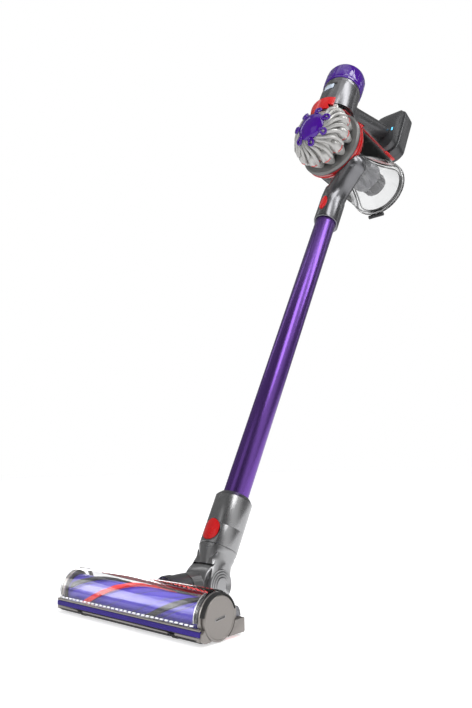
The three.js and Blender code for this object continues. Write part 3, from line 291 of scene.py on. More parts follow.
NICKEL = Finish("satin_nickel", (0.33, 0.33, 0.335), 0.27, 0.9, 0.04, 0.03, 1100.0, 0.004)
DARK_NICKEL = Finish("dark_nickel", (0.19, 0.19, 0.2), 0.26, 0.88, 0.04, 0.03, 1100.0, 0.004)
TAUPE = Finish("taupe_satin", (0.27, 0.25, 0.235), 0.34, 0.6, 0.04, 0.04, 1100.0, 0.006)
VIOLET = Finish("violet_tube", (0.15, 0.065, 0.33), 0.25, 0.85, 0.04, 0.03, 1600.0, 0.004)
CYCLONE = Finish("cyclone_grey", (0.46, 0.455, 0.44), 0.3, 0.4, 0.05, 0.05, 1100.0, 0.006, 0.25)
DEEP_RED = Finish("deep_red", (0.3, 0.006, 0.01), 0.35, 0.0, 0.08, 0.05)
RIM = Finish("rim_grey", (0.17, 0.17, 0.165), 0.32, 0.35, 0.05, 0.05, coat=0.2)
GRAPHITE = Finish("graphite_plastic", (0.075, 0.075, 0.08), 0.36, 0.25, 0.08, 0.06, 1500.0, 0.05)
HANDLE = Finish("handle_grey", (0.075, 0.076, 0.08), 0.28, 0.55, 0.08, 0.06, 1500.0, 0.04)
BLACK = Finish("black_plastic", (0.012, 0.012, 0.013), 0.38, 0.0, 0.1, 0.06)
RUBBER = Finish("black_rubber", (0.02, 0.02, 0.02), 0.75, 0.0, 0.1, 0.05, 1800.0, 0.1)
RED = Finish("signal_red", (0.68, 0.004, 0.006), 0.28, 0.0, 0.05, 0.05, coat=0.25)
BRISTLE = Finish("red_bristle", (0.68, 0.01, 0.014), 0.7, 0.0, 0.35, 0.1, 2600.0, 0.6)
CARBON = Finish("carbon_bristle", (0.015, 0.015, 0.017), 0.55, 0.0, 0.4, 0.1, 2600.0, 0.6)
INDIGO = Finish("indigo_core", (0.05, 0.025, 0.42), 0.32, 0.1, 0.08, 0.05, coat=0.3)
FELT = Finish("indigo_pile", (0.04, 0.022, 0.24), 0.9, 0.0, 0.25, 0.05, 2400.0, 0.6)
STEEL = Finish("bare_steel", (0.5, 0.5, 0.5), 0.28, 1.0, 0.05, 0.06)
COPPER = Finish("copper_winding", (0.6, 0.28, 0.12), 0.35, 1.0, 0.15, 0.08, 700.0, 0.3)
BOARD = Finish("circuit_board", (0.02, 0.12, 0.05), 0.45, 0.0, 0.2, 0.06)
PAPER = Finish("filter_paper", (0.7, 0.68, 0.6), 0.9, 0.0, 0.12, 0.04, 900.0, 0.4)
WRAP = Finish("cell_sleeve", (0.03, 0.16, 0.3), 0.35, 0.0, 0.1, 0.05)
PALE = Finish("pale_blue_slider", (0.62, 0.72, 0.85), 0.2, 0.1, 0.03, 0.03, coat=0.5)
LAMP = Glow("charge_glow", (0.12, 0.6, 1.0), 1.1)
WINDOW = Clear("clear_window", (0.99, 0.99, 0.995), 0.02, 1.1, coat=0.28, edge=1.0)
BIN_CLEAR = Clear("clear_bin", (0.97, 0.972, 0.975), 0.02, 1.36, coat=0.1, edge=0.6)
SMOKE = Clear("smoked_clear", (0.12, 0.12, 0.15), 0.05)
RED_CLEAR = Clear("red_tinted", (0.72, 0.006, 0.01), 0.08, transmission=0.35, shadow=0.5, edge=0.5)
VIOLET_CLEAR = Clear(
    "violet_tinted", (0.085, 0.006, 0.37), 0.06, transmission=0.22, shadow=0.4, coat=0.2, edge=0.5
)


# --------------------------------------------------------------- workbench


class Bench:
    """Modelling steps shared by every sub-assembly."""

    @staticmethod
    def clear() -> None:
        """Deselects everything."""
        bpy.ops.object.select_all(action="DESELECT")

    @staticmethod
    def hold(piece: bpy.types.Object) -> None:
        """Makes a piece the only selected and active one."""
        Bench.clear()
        piece.select_set(True)
        bpy.context.view_layer.objects.active = piece

    @staticmethod
    def close(piece: bpy.types.Object, gap: float = 0.002) -> None:
        """Merges doubles and turns every face outwards."""
        Bench.hold(piece)
        bpy.ops.object.mode_set(mode="EDIT")
        bpy.ops.mesh.select_all(action="SELECT")
        bpy.ops.mesh.remove_doubles(threshold=gap)
        bpy.ops.mesh.normals_make_consistent(inside=False)
        bpy.ops.object.mode_set(mode="OBJECT")

    @staticmethod
    def turn(
        name: str,
        profile: Profile,
        steps: int = 96,
        arc: float = 360.0,
        start: float = 0.0,
    ) -> bpy.types.Object:
        """Spins a profile of radius and height about Z.

        Args:
            name: Name of the piece.
            profile: Corner points as radius and height.
            steps: Faces round the arc.
            arc: Angle spun, in degrees.
            start: Angle of the first edge, in degrees.

        Returns:
            The closed piece.
        """
        Bench.clear()
        bpy.ops.mesh.primitive_plane_add(size=1.0)
        piece = bpy.context.object
        piece.name = name
        bpy.ops.object.mode_set(mode="EDIT")
        bpy.ops.mesh.select_all(action="SELECT")
        bpy.ops.mesh.merge(type="CENTER")
        first = (profile[0][0], 0.0, profile[0][1])
        bpy.ops.transform.translate(value=first)
        for (r0, z0), (r1, z1) in zip(profile, profile[1:]):
            step = {"value": (r1 - r0, 0.0, z1 - z0)}
            bpy.ops.mesh.extrude_vertices_move(TRANSFORM_OT_translate=step)
        bpy.ops.mesh.select_all(action="SELECT")
        bpy.ops.mesh.spin(steps=steps, angle=-radians(arc), center=(0, 0, 0), axis=(0, 0, 1))
        bpy.ops.mesh.select_all(action="SELECT")
        bpy.ops.mesh.remove_doubles(threshold=0.002)
        if arc < 360:
            bpy.ops.mesh.fill_holes(sides=0)
            bpy.ops.mesh.select_all(action="SELECT")
        bpy.ops.mesh.normals_make_consistent(inside=False)
        bpy.ops.object.mode_set(mode="OBJECT")
        if start:
            piece.data.transform(Matrix.Rotation(radians(start), 4, "Z"))
        return piece

    @staticmethod
    def block(name: str, low: tuple, high: tuple, round_by: float = 0.0) -> bpy.types.Object:
        """Box between two corners, its edges rounded if asked."""
        Bench.clear()
        bpy.ops.mesh.primitive_cube_add(size=1.0)
        piece = bpy.context.object
        piece.name = name
        size = [b - a for a, b in zip(low, high)]
        middle = [(a + b) / 2 for a, b in zip(low, high)]
        piece.data.transform(Matrix.Translation(middle) @ Matrix.Diagonal((*size, 1.0)))
        if round_by:
            Bench.soften(piece, round_by, 3)
        return piece

    @staticmethod
    def extrude(name: str, outline: Profile, low: float, high: float) -> bpy.types.Object:
        """Flat outline in the local YZ plane, given thickness along X."""
        Bench.clear()
        bpy.ops.mesh.primitive_plane_add(size=1.0)
        piece = bpy.context.object
        piece.name = name
        bpy.ops.object.mode_set(mode="EDIT")
        bpy.ops.mesh.select_all(action="SELECT")
        bpy.ops.mesh.merge(type="CENTER")
        bpy.ops.transform.translate(value=(low, outline[0][0], outline[0][1]))
        for (y0, z0), (y1, z1) in zip(outline, outline[1:] + outline[:1]):
            step = {"value": (0.0, y1 - y0, z1 - z0)}
            bpy.ops.mesh.extrude_vertices_move(TRANSFORM_OT_translate=step)
        bpy.ops.mesh.select_all(action="SELECT")
        bpy.ops.mesh.remove_doubles(threshold=0.002)
        bpy.ops.mesh.edge_face_add()
        bpy.ops.mesh.select_all(action="SELECT")
        step = {"value": (high - low, 0.0, 0.0)}
        bpy.ops.mesh.extrude_region_move(TRANSFORM_OT_translate=step)
        bpy.ops.mesh.select_all(action="SELECT")
        bpy.ops.mesh.normals_make_consistent(inside=False)
        bpy.ops.object.mode_set(mode="OBJECT")
        return piece

    @staticmethod
    def cylinder(name: str, radius: float, low: float, high: float, sides: int = 64) -> bpy.types.Object:
        """Round bar along Z."""
        return Bench.turn(name, [(0, low), (radius, low), (radius, high), (0, high)], sides)

    @staticmethod
    def rope(
        name: str, points: Points, radius: float, ends: bool = True, loop: bool = False
    ) -> bpy.types.Object:
        """Round bar along a smooth route.

        Args:
            name: Name of the piece.
            points: Route of the bar's middle.
            radius: Radius of the bar.
            ends: Whether the ends are closed.
            loop: Whether the route closes on itself.

        Returns:
            The bar as a mesh.
        """
        Bench.clear()
        bpy.ops.curve.primitive_nurbs_path_add()
        piece = bpy.context.object
        piece.name = name
        curve = piece.data
        curve.splines.clear()
        spline = curve.splines.new("NURBS")
        spline.points.add(len(points) - 1)
        for slot, point in zip(spline.points, points):
            slot.co = (*point, 1.0)
        spline.order_u = 4
        spline.use_endpoint_u = not loop
        spline.use_cyclic_u = loop
        spline.resolution_u = 4
        curve.bevel_depth = radius
        curve.bevel_resolution = 3
        curve.use_fill_caps = ends and not loop
        bpy.ops.object.convert(target="MESH")
        made = bpy.context.object
        Bench.close(made)
        return made

    @staticmethod
    def carve(piece: bpy.types.Object, tool: bpy.types.Object, way: Cut = Cut.AWAY) -> bpy.types.Object:
        """Cuts, keeps or adds a tool's shape and removes the tool."""
        modifier = piece.modifiers.new("carve", "BOOLEAN")
        modifier.object = tool
        modifier.operation = way.value
        modifier.solver = "EXACT"
        Bench.hold(piece)
        bpy.ops.object.modifier_apply(modifier=modifier.name)
        bpy.data.objects.remove(tool, do_unlink=True)
        return piece

    @staticmethod
    def soften(
        piece: bpy.types.Object, width: float, segments: int = 2, angle: float = 32.0
    ) -> bpy.types.Object:
        """Rounds the sharp edges of a piece."""
        modifier = piece.modifiers.new("soften", "BEVEL")
        modifier.width = width
        modifier.segments = segments
        modifier.limit_method = "ANGLE"
        modifier.angle_limit = radians(angle)
        modifier.use_clamp_overlap = True
        Bench.hold(piece)
        bpy.ops.object.modifier_apply(modifier=modifier.name)
        return piece

    @staticmethod
    def copies(piece: bpy.types.Object, places: list[Matrix], name: str) -> bpy.types.Object:
        """Copies a modelled shape to several places and joins the copies."""
        made = []
        for place in places:
            copy = piece.copy()
            copy.data = piece.data.copy()
            copy.data.transform(place)
            bpy.context.collection.objects.link(copy)
            made.append(copy)
        bpy.data.objects.remove(piece, do_unlink=True)
        Bench.hold(made[0])
        for copy in made[1:]:
            copy.select_set(True)
        bpy.ops.object.join()
        made[0].name = name
        return made[0]

    @staticmethod
    def oval(width: float, length: float, y0: float, y1: float, z: float) -> bpy.types.Object:
        """Oval plug along Y, for a button or its pocket."""
        plug = Bench.cylinder("oval_plug", 0.5, -y1, -y0, 64)
        shape = Matrix.Diagonal((width, 1.0, length, 1.0)) @ Matrix.Rotation(radians(90), 4, "X")
        plug.data.transform(Matrix.Translation((0, 0, z)) @ shape)
        return plug


@dataclass(frozen=True)
class Frame:
    """Place of a sub-assembly, from its own millimetres to the object's metres."""

    matrix: Matrix

    def step(self, x: float, y: float, z: float, tilt: float = 0.0) -> "Frame":
        """Frame moved by x, y, z and then tilted about X, in degrees."""
        return Frame(self.matrix @ Matrix.Translation((x, y, z)) @ Matrix.Rotation(radians(tilt), 4, "X"))

    def axle(self, y: float = 0.0, z: float = 0.0) -> "Frame":
        """Frame whose local Z lies along this one's X, through y and z."""
        return Frame(self.matrix @ Matrix.Translation((0, y, z)) @ AXLE_TURN)

    def into(self, other: "Frame") -> Matrix:
        """Matrix that takes this frame's coordinates into another's."""
        return other.matrix.inverted() @ self.matrix

    def put(
        self,
        piece: bpy.types.Object,
        body: Body,
        slot: str,
        finish: Finish | Clear | Glow,
        *nodes: str,
        smooth: float = 32.0,
    ) -> bpy.types.Object:
        """Places a finished piece, hangs it on the body it rides on and hides the CAD nodes it stands for."""
        piece.data.transform(self.matrix)
        Bench.hold(piece)
        bpy.ops.object.shade_smooth_by_angle(angle=radians(smooth))
        piece.data.materials.clear()
        piece.data.materials.append(finish.material())
        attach(piece, body.value)
        if nodes:
            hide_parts(*nodes)
        LOG.info("made %s", piece.name)
        return piece


@dataclass
class Layout:
    """Frames of the sub-assemblies, from the brush bar's measured place."""

    lean: float = 28.85
    pivot: tuple[float, float] = (108.7, 26.0)
    brush_z: float = 22.5
    mouth: float = 632.3
    rim: tuple[float, float] = (52.0, 150.0)
    bin_tilt: float = 108.0
    motor: float = 67.5
    housing: float = 35.3
    crossing: float = 283.3
    handle_tilt: float = -56.7
    head: Frame = field(init=False)

    def __post_init__(self) -> None:
        """Works out every frame."""
        low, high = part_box("brush_core")
        middle = (low[1] + high[1]) / 2
        scale = Matrix.Scale(0.001, 4)
        self.head = Frame(Matrix.Translation((0, middle, 0)) @ scale)
        self.brush = self.head.axle(0, self.brush_z)
        self.neck = self.head.step(0, *self.pivot, -self.lean)
        self.pin = self.neck.axle()
        self.unit = self.neck.step(0, 0, self.mouth)
        self.bin = self.unit.step(0, -self.rim[0], self.rim[1], self.bin_tilt)
        self.motor_axis = self.unit.step(0, -self.motor, 0)
        root = -self.motor + self.housing
        rise = self.crossing + root / tan(radians(-self.handle_tilt))
        self.grip = self.unit.step(0, root, rise, self.handle_tilt)


# ------------------------------------------------------------- floor head


@dataclass
class FloorHead:
    """Powered head: brush bar under a clear window, chassis and neck pipe."""

    layout: Layout
    window: float = 27.0
    core: float = 17.5
    bristle: float = 21.2
    cap: float = 22.4

    def build(self) -> None:
        """Builds the head, piece by piece."""
        self.make_window()
        self.make_brush()
        self.make_comb()
        self.make_ends()
        self.make_lips()
        self.make_back()
        self.make_rollers()
        self.make_neck_pipe()

    def make_window(self) -> None:
        """Clear half tube over the brush bar, with its moulded edge lines."""
        r, w = self.window, 1.8
        shell = Bench.turn(
            "window_shell",
            [(r, -119), (r, 117.5), (r - w, 117.5), (r - w, -119), (r, -119)],
            56,
            181,
            12,
        )
        Bench.soften(shell, 0.5, 3)
        self.layout.brush.put(shell, Body.HEAD, "clear", WINDOW, "window_cover")
        left = Bench.turn(
            "window_end",
            [
                (r - 0.2, -123.4), (r - 0.2, -119.4), (r - 4, -119.4), (r - 4, -121), (r - 2.4, -123.4),
                (r - 0.2, -123.4)
            ],
            48, 178, 12
        )
        Bench.soften(left, 0.4)
        self.layout.brush.put(left, Body.HEAD, "clear", WINDOW)
        bar = Bench.block("edge_tick", (-2.6, -0.35, -0.9), (2.6, 0.35, 0.9), 0.25)
        shear = Matrix(((1, 0, 0.9, 0), (0, 1, 0, 0), (0, 0, 1, 0), (0, 0, 0, 1)))
        places = [Matrix.Translation((-112 + 7.4 * i, -26.1, 18.3)) @ shear for i in range(31)]
        ticks = Bench.copies(bar, places, "window_edge_ticks")
        self.layout.head.put(ticks, Body.HEAD, "clear", Finish("milky_edge", (0.85, 0.86, 0.9), 0.2))
        line = Bench.block("window_edge_rail", (-119, -26.3, 16.35), (117, -24.9, 17.1), 0.3)
        self.layout.head.put(line, Body.HEAD, "clear", WINDOW)

    def make_brush(self) -> None:
        """Brush bar: core with wound grooves, bristle strips and bearings."""
        r = self.core
        core = Bench.turn(
            "core_tube",
            [
                (r - 2.4, -114), (r - 0.6, -114), (r, -113), (r, 113), (r - 0.6, 114), (6, 114),
                (6, 119), (0, 119), (0, 112), (r - 2.4, 112), (r - 2.4, -114)
            ],
            96,
        )
        self.layout.brush.put(core, Body.BRUSH, "indigo", INDIGO, "brush_core")
        for index in range(6):
            groove = self.wound(
                "core_groove_%d" % index, r - 0.3, r + 0.12, 0.7, -0.8, 0.55 + index * 1.047, 218
            )
            self.layout.brush.put(groove, Body.BRUSH, "black", BLACK)
        red = self.wound("bristle_row", r + 0.3, self.bristle, 6.4, -0.8, 1.7, 216, 1.0)
        self.layout.brush.put(red, Body.BRUSH, "red", BRISTLE, "bristle_strip")
        foot = self.wound("bristle_foot", r - 0.2, r + 0.7, 8.4, -0.8, 1.7, 217)
        self.layout.brush.put(foot, Body.BRUSH, "indigo", INDIGO)
        for index, phase in enumerate((0.17, 4.33)):
            strip = self.wound(
                "carbon_row_%d" % index, r + 0.1, self.bristle - 0.8, 6.4, -0.8, phase, 216, 0.7
            )
            replaced = ("carbon_strip",) if index == 0 else ()
            self.layout.brush.put(strip, Body.BRUSH, "black", CARBON, *replaced)

    def wound(
        self,
        name: str,
        inner: float,
        outer: float,
        width: float,
        turns: float,
        phase: float,
        length: float,
        ragged: float = 0.0
    ) -> bpy.types.Object:
        """Strip wound round the brush bar.

        Args:
            name: Name of the piece.
            inner: Radius of its foot.
            outer: Radius of its top.
            width: Width round the bar.
            turns: Turns from end to end.
            phase: Angle at the middle, in radians.
            length: Length along the bar.
            ragged: Height of the uneven tufts at its top.

        Returns:
            The closed strip.
        """
        steps = 420 if ragged else 120
        Bench.clear()
        bpy.ops.mesh.primitive_cube_add(size=1.0)
        piece = bpy.context.object
        piece.name = name
        bpy.ops.object.mode_set(mode="EDIT")
        bpy.ops.mesh.select_all(action="DESELECT")
        bpy.ops.object.mode_set(mode="OBJECT")
        for edge in piece.data.edges:
            ends = [piece.data.vertices[i].co for i in edge.vertices]
            edge.select = abs(ends[0].z - ends[1].z) > 0.5
        bpy.ops.object.mode_set(mode="EDIT")
        bpy.ops.mesh.subdivide(number_cuts=steps)
        bpy.ops.object.mode_set(mode="OBJECT")
        for vertex in piece.data.vertices:
            u, v, w = vertex.co
            tuft = ragged * 0.5 * (1 + sin(w * steps * 2.1) * cos(w * steps * 0.73)) if u > 0 else 0.0
            radius = inner + (outer - inner) * (u + 0.5) - tuft
            angle = phase + turns * 2 * pi * w + v * width / outer
            vertex.co = (radius * cos(angle), radius * sin(angle), w * length)
        Bench.close(piece, 0.0005)
        return piece

    def make_comb(self) -> None:
        """Rail of slanted teeth behind the brush bar, in front of a pale strip that is a painted highlight
        along the window's top edge.
        """
        rail = Bench.block("comb_back", (23.2, -1.2, -88), (24.3, 0.4, 114), 0.3)
        rail.data.transform(Matrix.Rotation(radians(55), 4, "Z"))
        self.layout.brush.put(rail, Body.HEAD, "red", RED, "comb_rail")
        tooth = Bench.block("tooth", (23.0, 0.2, -0.75), (24.4, 9.0, 0.75), 0.35)
        lean = Matrix.Identity(4)
        lean[2][1] = -0.6
        turned = Matrix.Rotation(radians(55), 4, "Z")
        count = 32
        places = [
            turned @ Matrix.Translation((0, 0, -82 + 193 * i / (count - 1))) @ lean
            for i in range(count)
        ]
        teeth = Bench.copies(tooth, places, "comb_teeth")
        self.layout.brush.put(teeth, Body.HEAD, "red", RED)
        # Pale grey strip behind the teeth: a painted highlight standing in for the white reflection line
        # along the window's top edge.
        highlight_strip = Bench.turn(
            "painted_highlight_strip", [(24.65, -112), (25.05, -112), (25.05, 112), (24.65, 112), (24.65, -112)],
            20, 26, 53
        )
        self.layout.brush.put(
            highlight_strip, Body.HEAD, "clear",
            Finish("painted_highlight_pale", (0.62, 0.62, 0.63), 0.25, 0.0, 0.05, 0.04)
        )

    def make_ends(self) -> None:
        """Coin-slot cap with its seal, and the dark rings inside the window."""
        r = self.cap
        disc = Bench.turn(
            "cap_disc",
            [
                (0, 118.5), (8.2, 118.5), (8.2, 121.2), (r, 121.2), (r, 124.2), (r - 0.9, 125),
                (r - 2.2, 125), (r - 2.7, 124.6), (0, 124.6)
            ],
            128,
        )
        slot = Bench.block("coin_slot", (-0.8, -6.6, 123.6), (0.8, 6.6, 130))
        slot.data.transform(Matrix.Rotation(radians(96), 4, "Z"))
        Bench.carve(disc, slot)
        Bench.carve(disc, Bench.cylinder("journal_hole", 6.5, 100, 119.8))
        Bench.soften(disc, 0.3, 2)
        self.layout.brush.put(disc, Body.END_CAP, "warm_grey", TAUPE, "end_cap")
        lip = Bench.block("slot_lip", (-1.3, -7.4, 124.5), (1.3, 7.4, 124.95), 0.2)
        hole = Bench.block("slot_lip_hole", (-0.75, -6.6, 120), (0.75, 6.6, 130))
        Bench.carve(lip, hole)
        lip.data.transform(Matrix.Rotation(radians(96), 4, "Z"))
        self.layout.brush.put(lip, Body.END_CAP, "warm_grey", NICKEL)
        seal = Bench.turn(
            "cap_seal",
            [(r + 2.6, 119.6), (r + 2.6, 124.2), (r + 0.6, 124.7), (r + 0.6, 119.6), (r + 2.6, 119.6)],
            64, 156, 14
        )
        Bench.soften(seal, 0.35)
        self.layout.brush.put(seal, Body.HEAD, "rubber", RUBBER, "end_seal")
        for name, x0, x1 in (("left", -117.5, -112.5), ("right", 112.2, 117.2)):
            ring = Bench.turn(
                "inner_seal_" + name, [(24.6, x0), (24.6, x1), (22.4, x1), (22.4, x0), (24.6, x0)], 56,
                170, 15
            )
            Bench.soften(ring, 0.3)
            self.layout.brush.put(ring, Body.HEAD, "rubber", BLACK if name == "right" else TAUPE)
            band = Bench.turn(
                "inner_band_" + name,
                [(24.9, x0 - 1.6), (24.9, x0 - 0.3), (23, x0 - 0.3), (23, x0 - 1.6), (24.9, x0 - 1.6)],
                56, 170, 15
            )
            self.layout.brush.put(band, Body.HEAD, "steel", STEEL)

    def make_lips(self) -> None:
        """Front bumper lips and the soft strip between them."""
        upper = Bench.extrude(
            "bumper_top",
            [(-22.2, 13.9), (-22.2, 14.6), (-24, 16.3), (-25.3, 16.3), (-26, 15.6), (-26, 13.9)],
            -124.6, 121
        )
        Bench.soften(upper, 0.4, 3)
        self.layout.head.put(upper, Body.HEAD, "warm_grey", TAUPE, "front_bumper")
        lower = Bench.extrude(
            "bumper_base", [(-22.2, 4.6), (-22.2, 8.1), (-26, 8.1), (-26, 6.4), (-24.6, 4.6)], -124.6,
            121
        )
        for x in (-79, 79):
            Bench.carve(lower, Bench.block("roller_room", (x - 5.6, -40, 0), (x + 5.6, -10, 7.4)))
        Bench.soften(lower, 0.4, 3)
        self.layout.head.put(lower, Body.HEAD, "warm_grey", TAUPE)
        strip = Bench.extrude(
            "soft_band",
            [(-23.4, 8.5), (-26.3, 8.5), (-26.6, 9.2), (-26.6, 12.9), (-26.3, 13.6), (-23.4, 13.6)],
            -124.2, 121
        )
        Bench.soften(strip, 0.3, 2)
        self.layout.head.put(strip, Body.HEAD, "indigo_felt", FELT, "soft_strip")
        under = Bench.block("under_edge", (-122, -25, 3.6), (119, -22.4, 4.5), 0.2)
        for x in (-79, 79):
            Bench.carve(under, Bench.block("roller_room", (x - 5.6, -40, 0), (x + 5.6, -10, 7.4)))
        self.layout.head.put(under, Body.HEAD, "rubber", BLACK)

    def make_back(self) -> None:
        """Cheeks, rear block, smoked cover and underside of the chassis."""
        cheek_x = ((-125.0, -120.2), (115.9, 120.5))
        for index, (x0, x1) in enumerate(cheek_x):
            cheek = Bench.cylinder("cheek_%d" % index, 20.5 if index == 0 else 24.2, x0, x1, 96)
            Bench.carve(cheek, Bench.cylinder("bearing_hole", 9.0, 100, 130))
            foot = Bench.block("cheek_foot", (-25.5, -18.6, x0), (20, -10, x1))
            Bench.carve(cheek, foot, Cut.ADD)
            Bench.carve(cheek, Bench.block("below", (-60, -60, -140), (60, -18.6, 140)))
            Bench.soften(cheek, 0.5, 2)
            self.layout.brush.put(cheek, Body.HEAD, "warm_grey", TAUPE)
        plate = Bench.extrude(
            "end_plate",
            [(-25.4, 5), (-22, 2.6), (36.6, 2.6), (37.3, 4), (37.3, 16.8), (-20, 16.8), (-25.4, 12)],
            120.9, 124.6
        )
        cap_hole = Bench.cylinder("cap_hole", self.cap + 0.7, 100, 140, 128)
        cap_hole.data.transform(self.layout.brush.into(self.layout.head))
        Bench.carve(plate, cap_hole)
        Bench.soften(plate, 0.5, 3)
        self.layout.head.put(plate, Body.HEAD, "warm_grey", TAUPE)
        outline = [
            (20, 4), (37.3, 4), (37.3, 16.4), (36.2, 17.6), (28.8, 17.6), (28.8, 29.2), (27.8, 30),
            (23, 30), (14, 30), (14, 12)
        ]
        block = Bench.extrude("rear_block", outline, -124.4, 120.6)
        room = Bench.cylinder("brush_room", 24.0, -130, 119.8, 72)
        room.data.transform(self.layout.brush.into(self.layout.head))
        Bench.carve(block, room)
        cap_room = Bench.cylinder("cap_room", 25.6, 119.4, 140, 72)
        cap_room.data.transform(self.layout.brush.into(self.layout.head))
        Bench.carve(block, cap_room)
        Bench.soften(block, 0.6, 3)
        self.layout.head.put(block, Body.HEAD, "warm_grey", TAUPE, "head_chassis")
        cover = Bench.turn("quarter_cover", [(11.3, 100), (11.3, 119.6), (0, 119.6), (0, 100)], 32, 90, 0)
        cover.data.transform(Matrix.Translation((29.2, -4.6, 0)) @ Matrix.Diagonal((0.7, 1.0, 1.0, 1.0)))
        Bench.soften(cover, 0.6, 3)
        self.layout.brush.put(cover, Body.HEAD, "smoke_clear", SMOKE, "smoked_cover")
        tab = Bench.block("sole_tab", (104, 12, 2.2), (122, 30, 3.9), 0.5)
        self.layout.head.put(tab, Body.HEAD, "red", RED)

    def make_rollers(self) -> None:
        """Small front wheels with brackets."""
        for side, x, body in (("left", -79, Body.ROLLER_LEFT), ("right", 79, Body.ROLLER_RIGHT)):
            tyre = Bench.turn(
                "tyre_" + side,
                [
                    (0, x - 4.5), (2.2, x - 4.5), (2.6, x - 4.1), (3.7, x - 4.3), (4.25, x - 3.5),
                    (4.25, x + 3.5), (3.7, x + 4.3), (2.6, x + 4.1), (2.2, x + 4.5), (0, x + 4.5)
                ],
                40,
            )
            tyre.data.transform(Matrix.Translation((-18, -18.2, 0)))
            self.layout.brush.put(tyre, body, "rubber", RUBBER, "front_roller_" + side)
            for sign in (-1, 1):
                hanger = Bench.block(
                    "hanger_%s_%d" % (side, sign + 1), (x + sign * 6.2 - 0.7, -21, 3.2),
                    (x + sign * 6.2 + 0.7, -15.2, 8), 0.3
                )
                self.layout.head.put(hanger, Body.HEAD, "black", BLACK)

    def make_neck_pipe(self) -> None:
        """Pipe behind the chassis with its collar and seams."""
        profile = [
            (14.8, 37.8), (18.6, 37.8), (19.4, 38.8), (19.4, 46.6), (18.7, 47.2), (18.1, 47.5),
            (18.1, 58), (17.8, 58.2), (17.8, 58.8), (18.1, 59), (18.1, 69.2), (17.6, 69.7),
            (14.8, 69.7), (14.8, 37.8)
        ]
        pipe = Bench.turn("pipe_shell", profile, 96)
        along = Matrix.Translation((0, 0, 26)) @ Matrix.Rotation(radians(-90), 4, "X")
        pipe.data.transform(along)
        self.layout.head.put(pipe, Body.HEAD, "nickel", DARK_NICKEL, "neck_pipe")


# --------------------------------------------------------- neck and wand


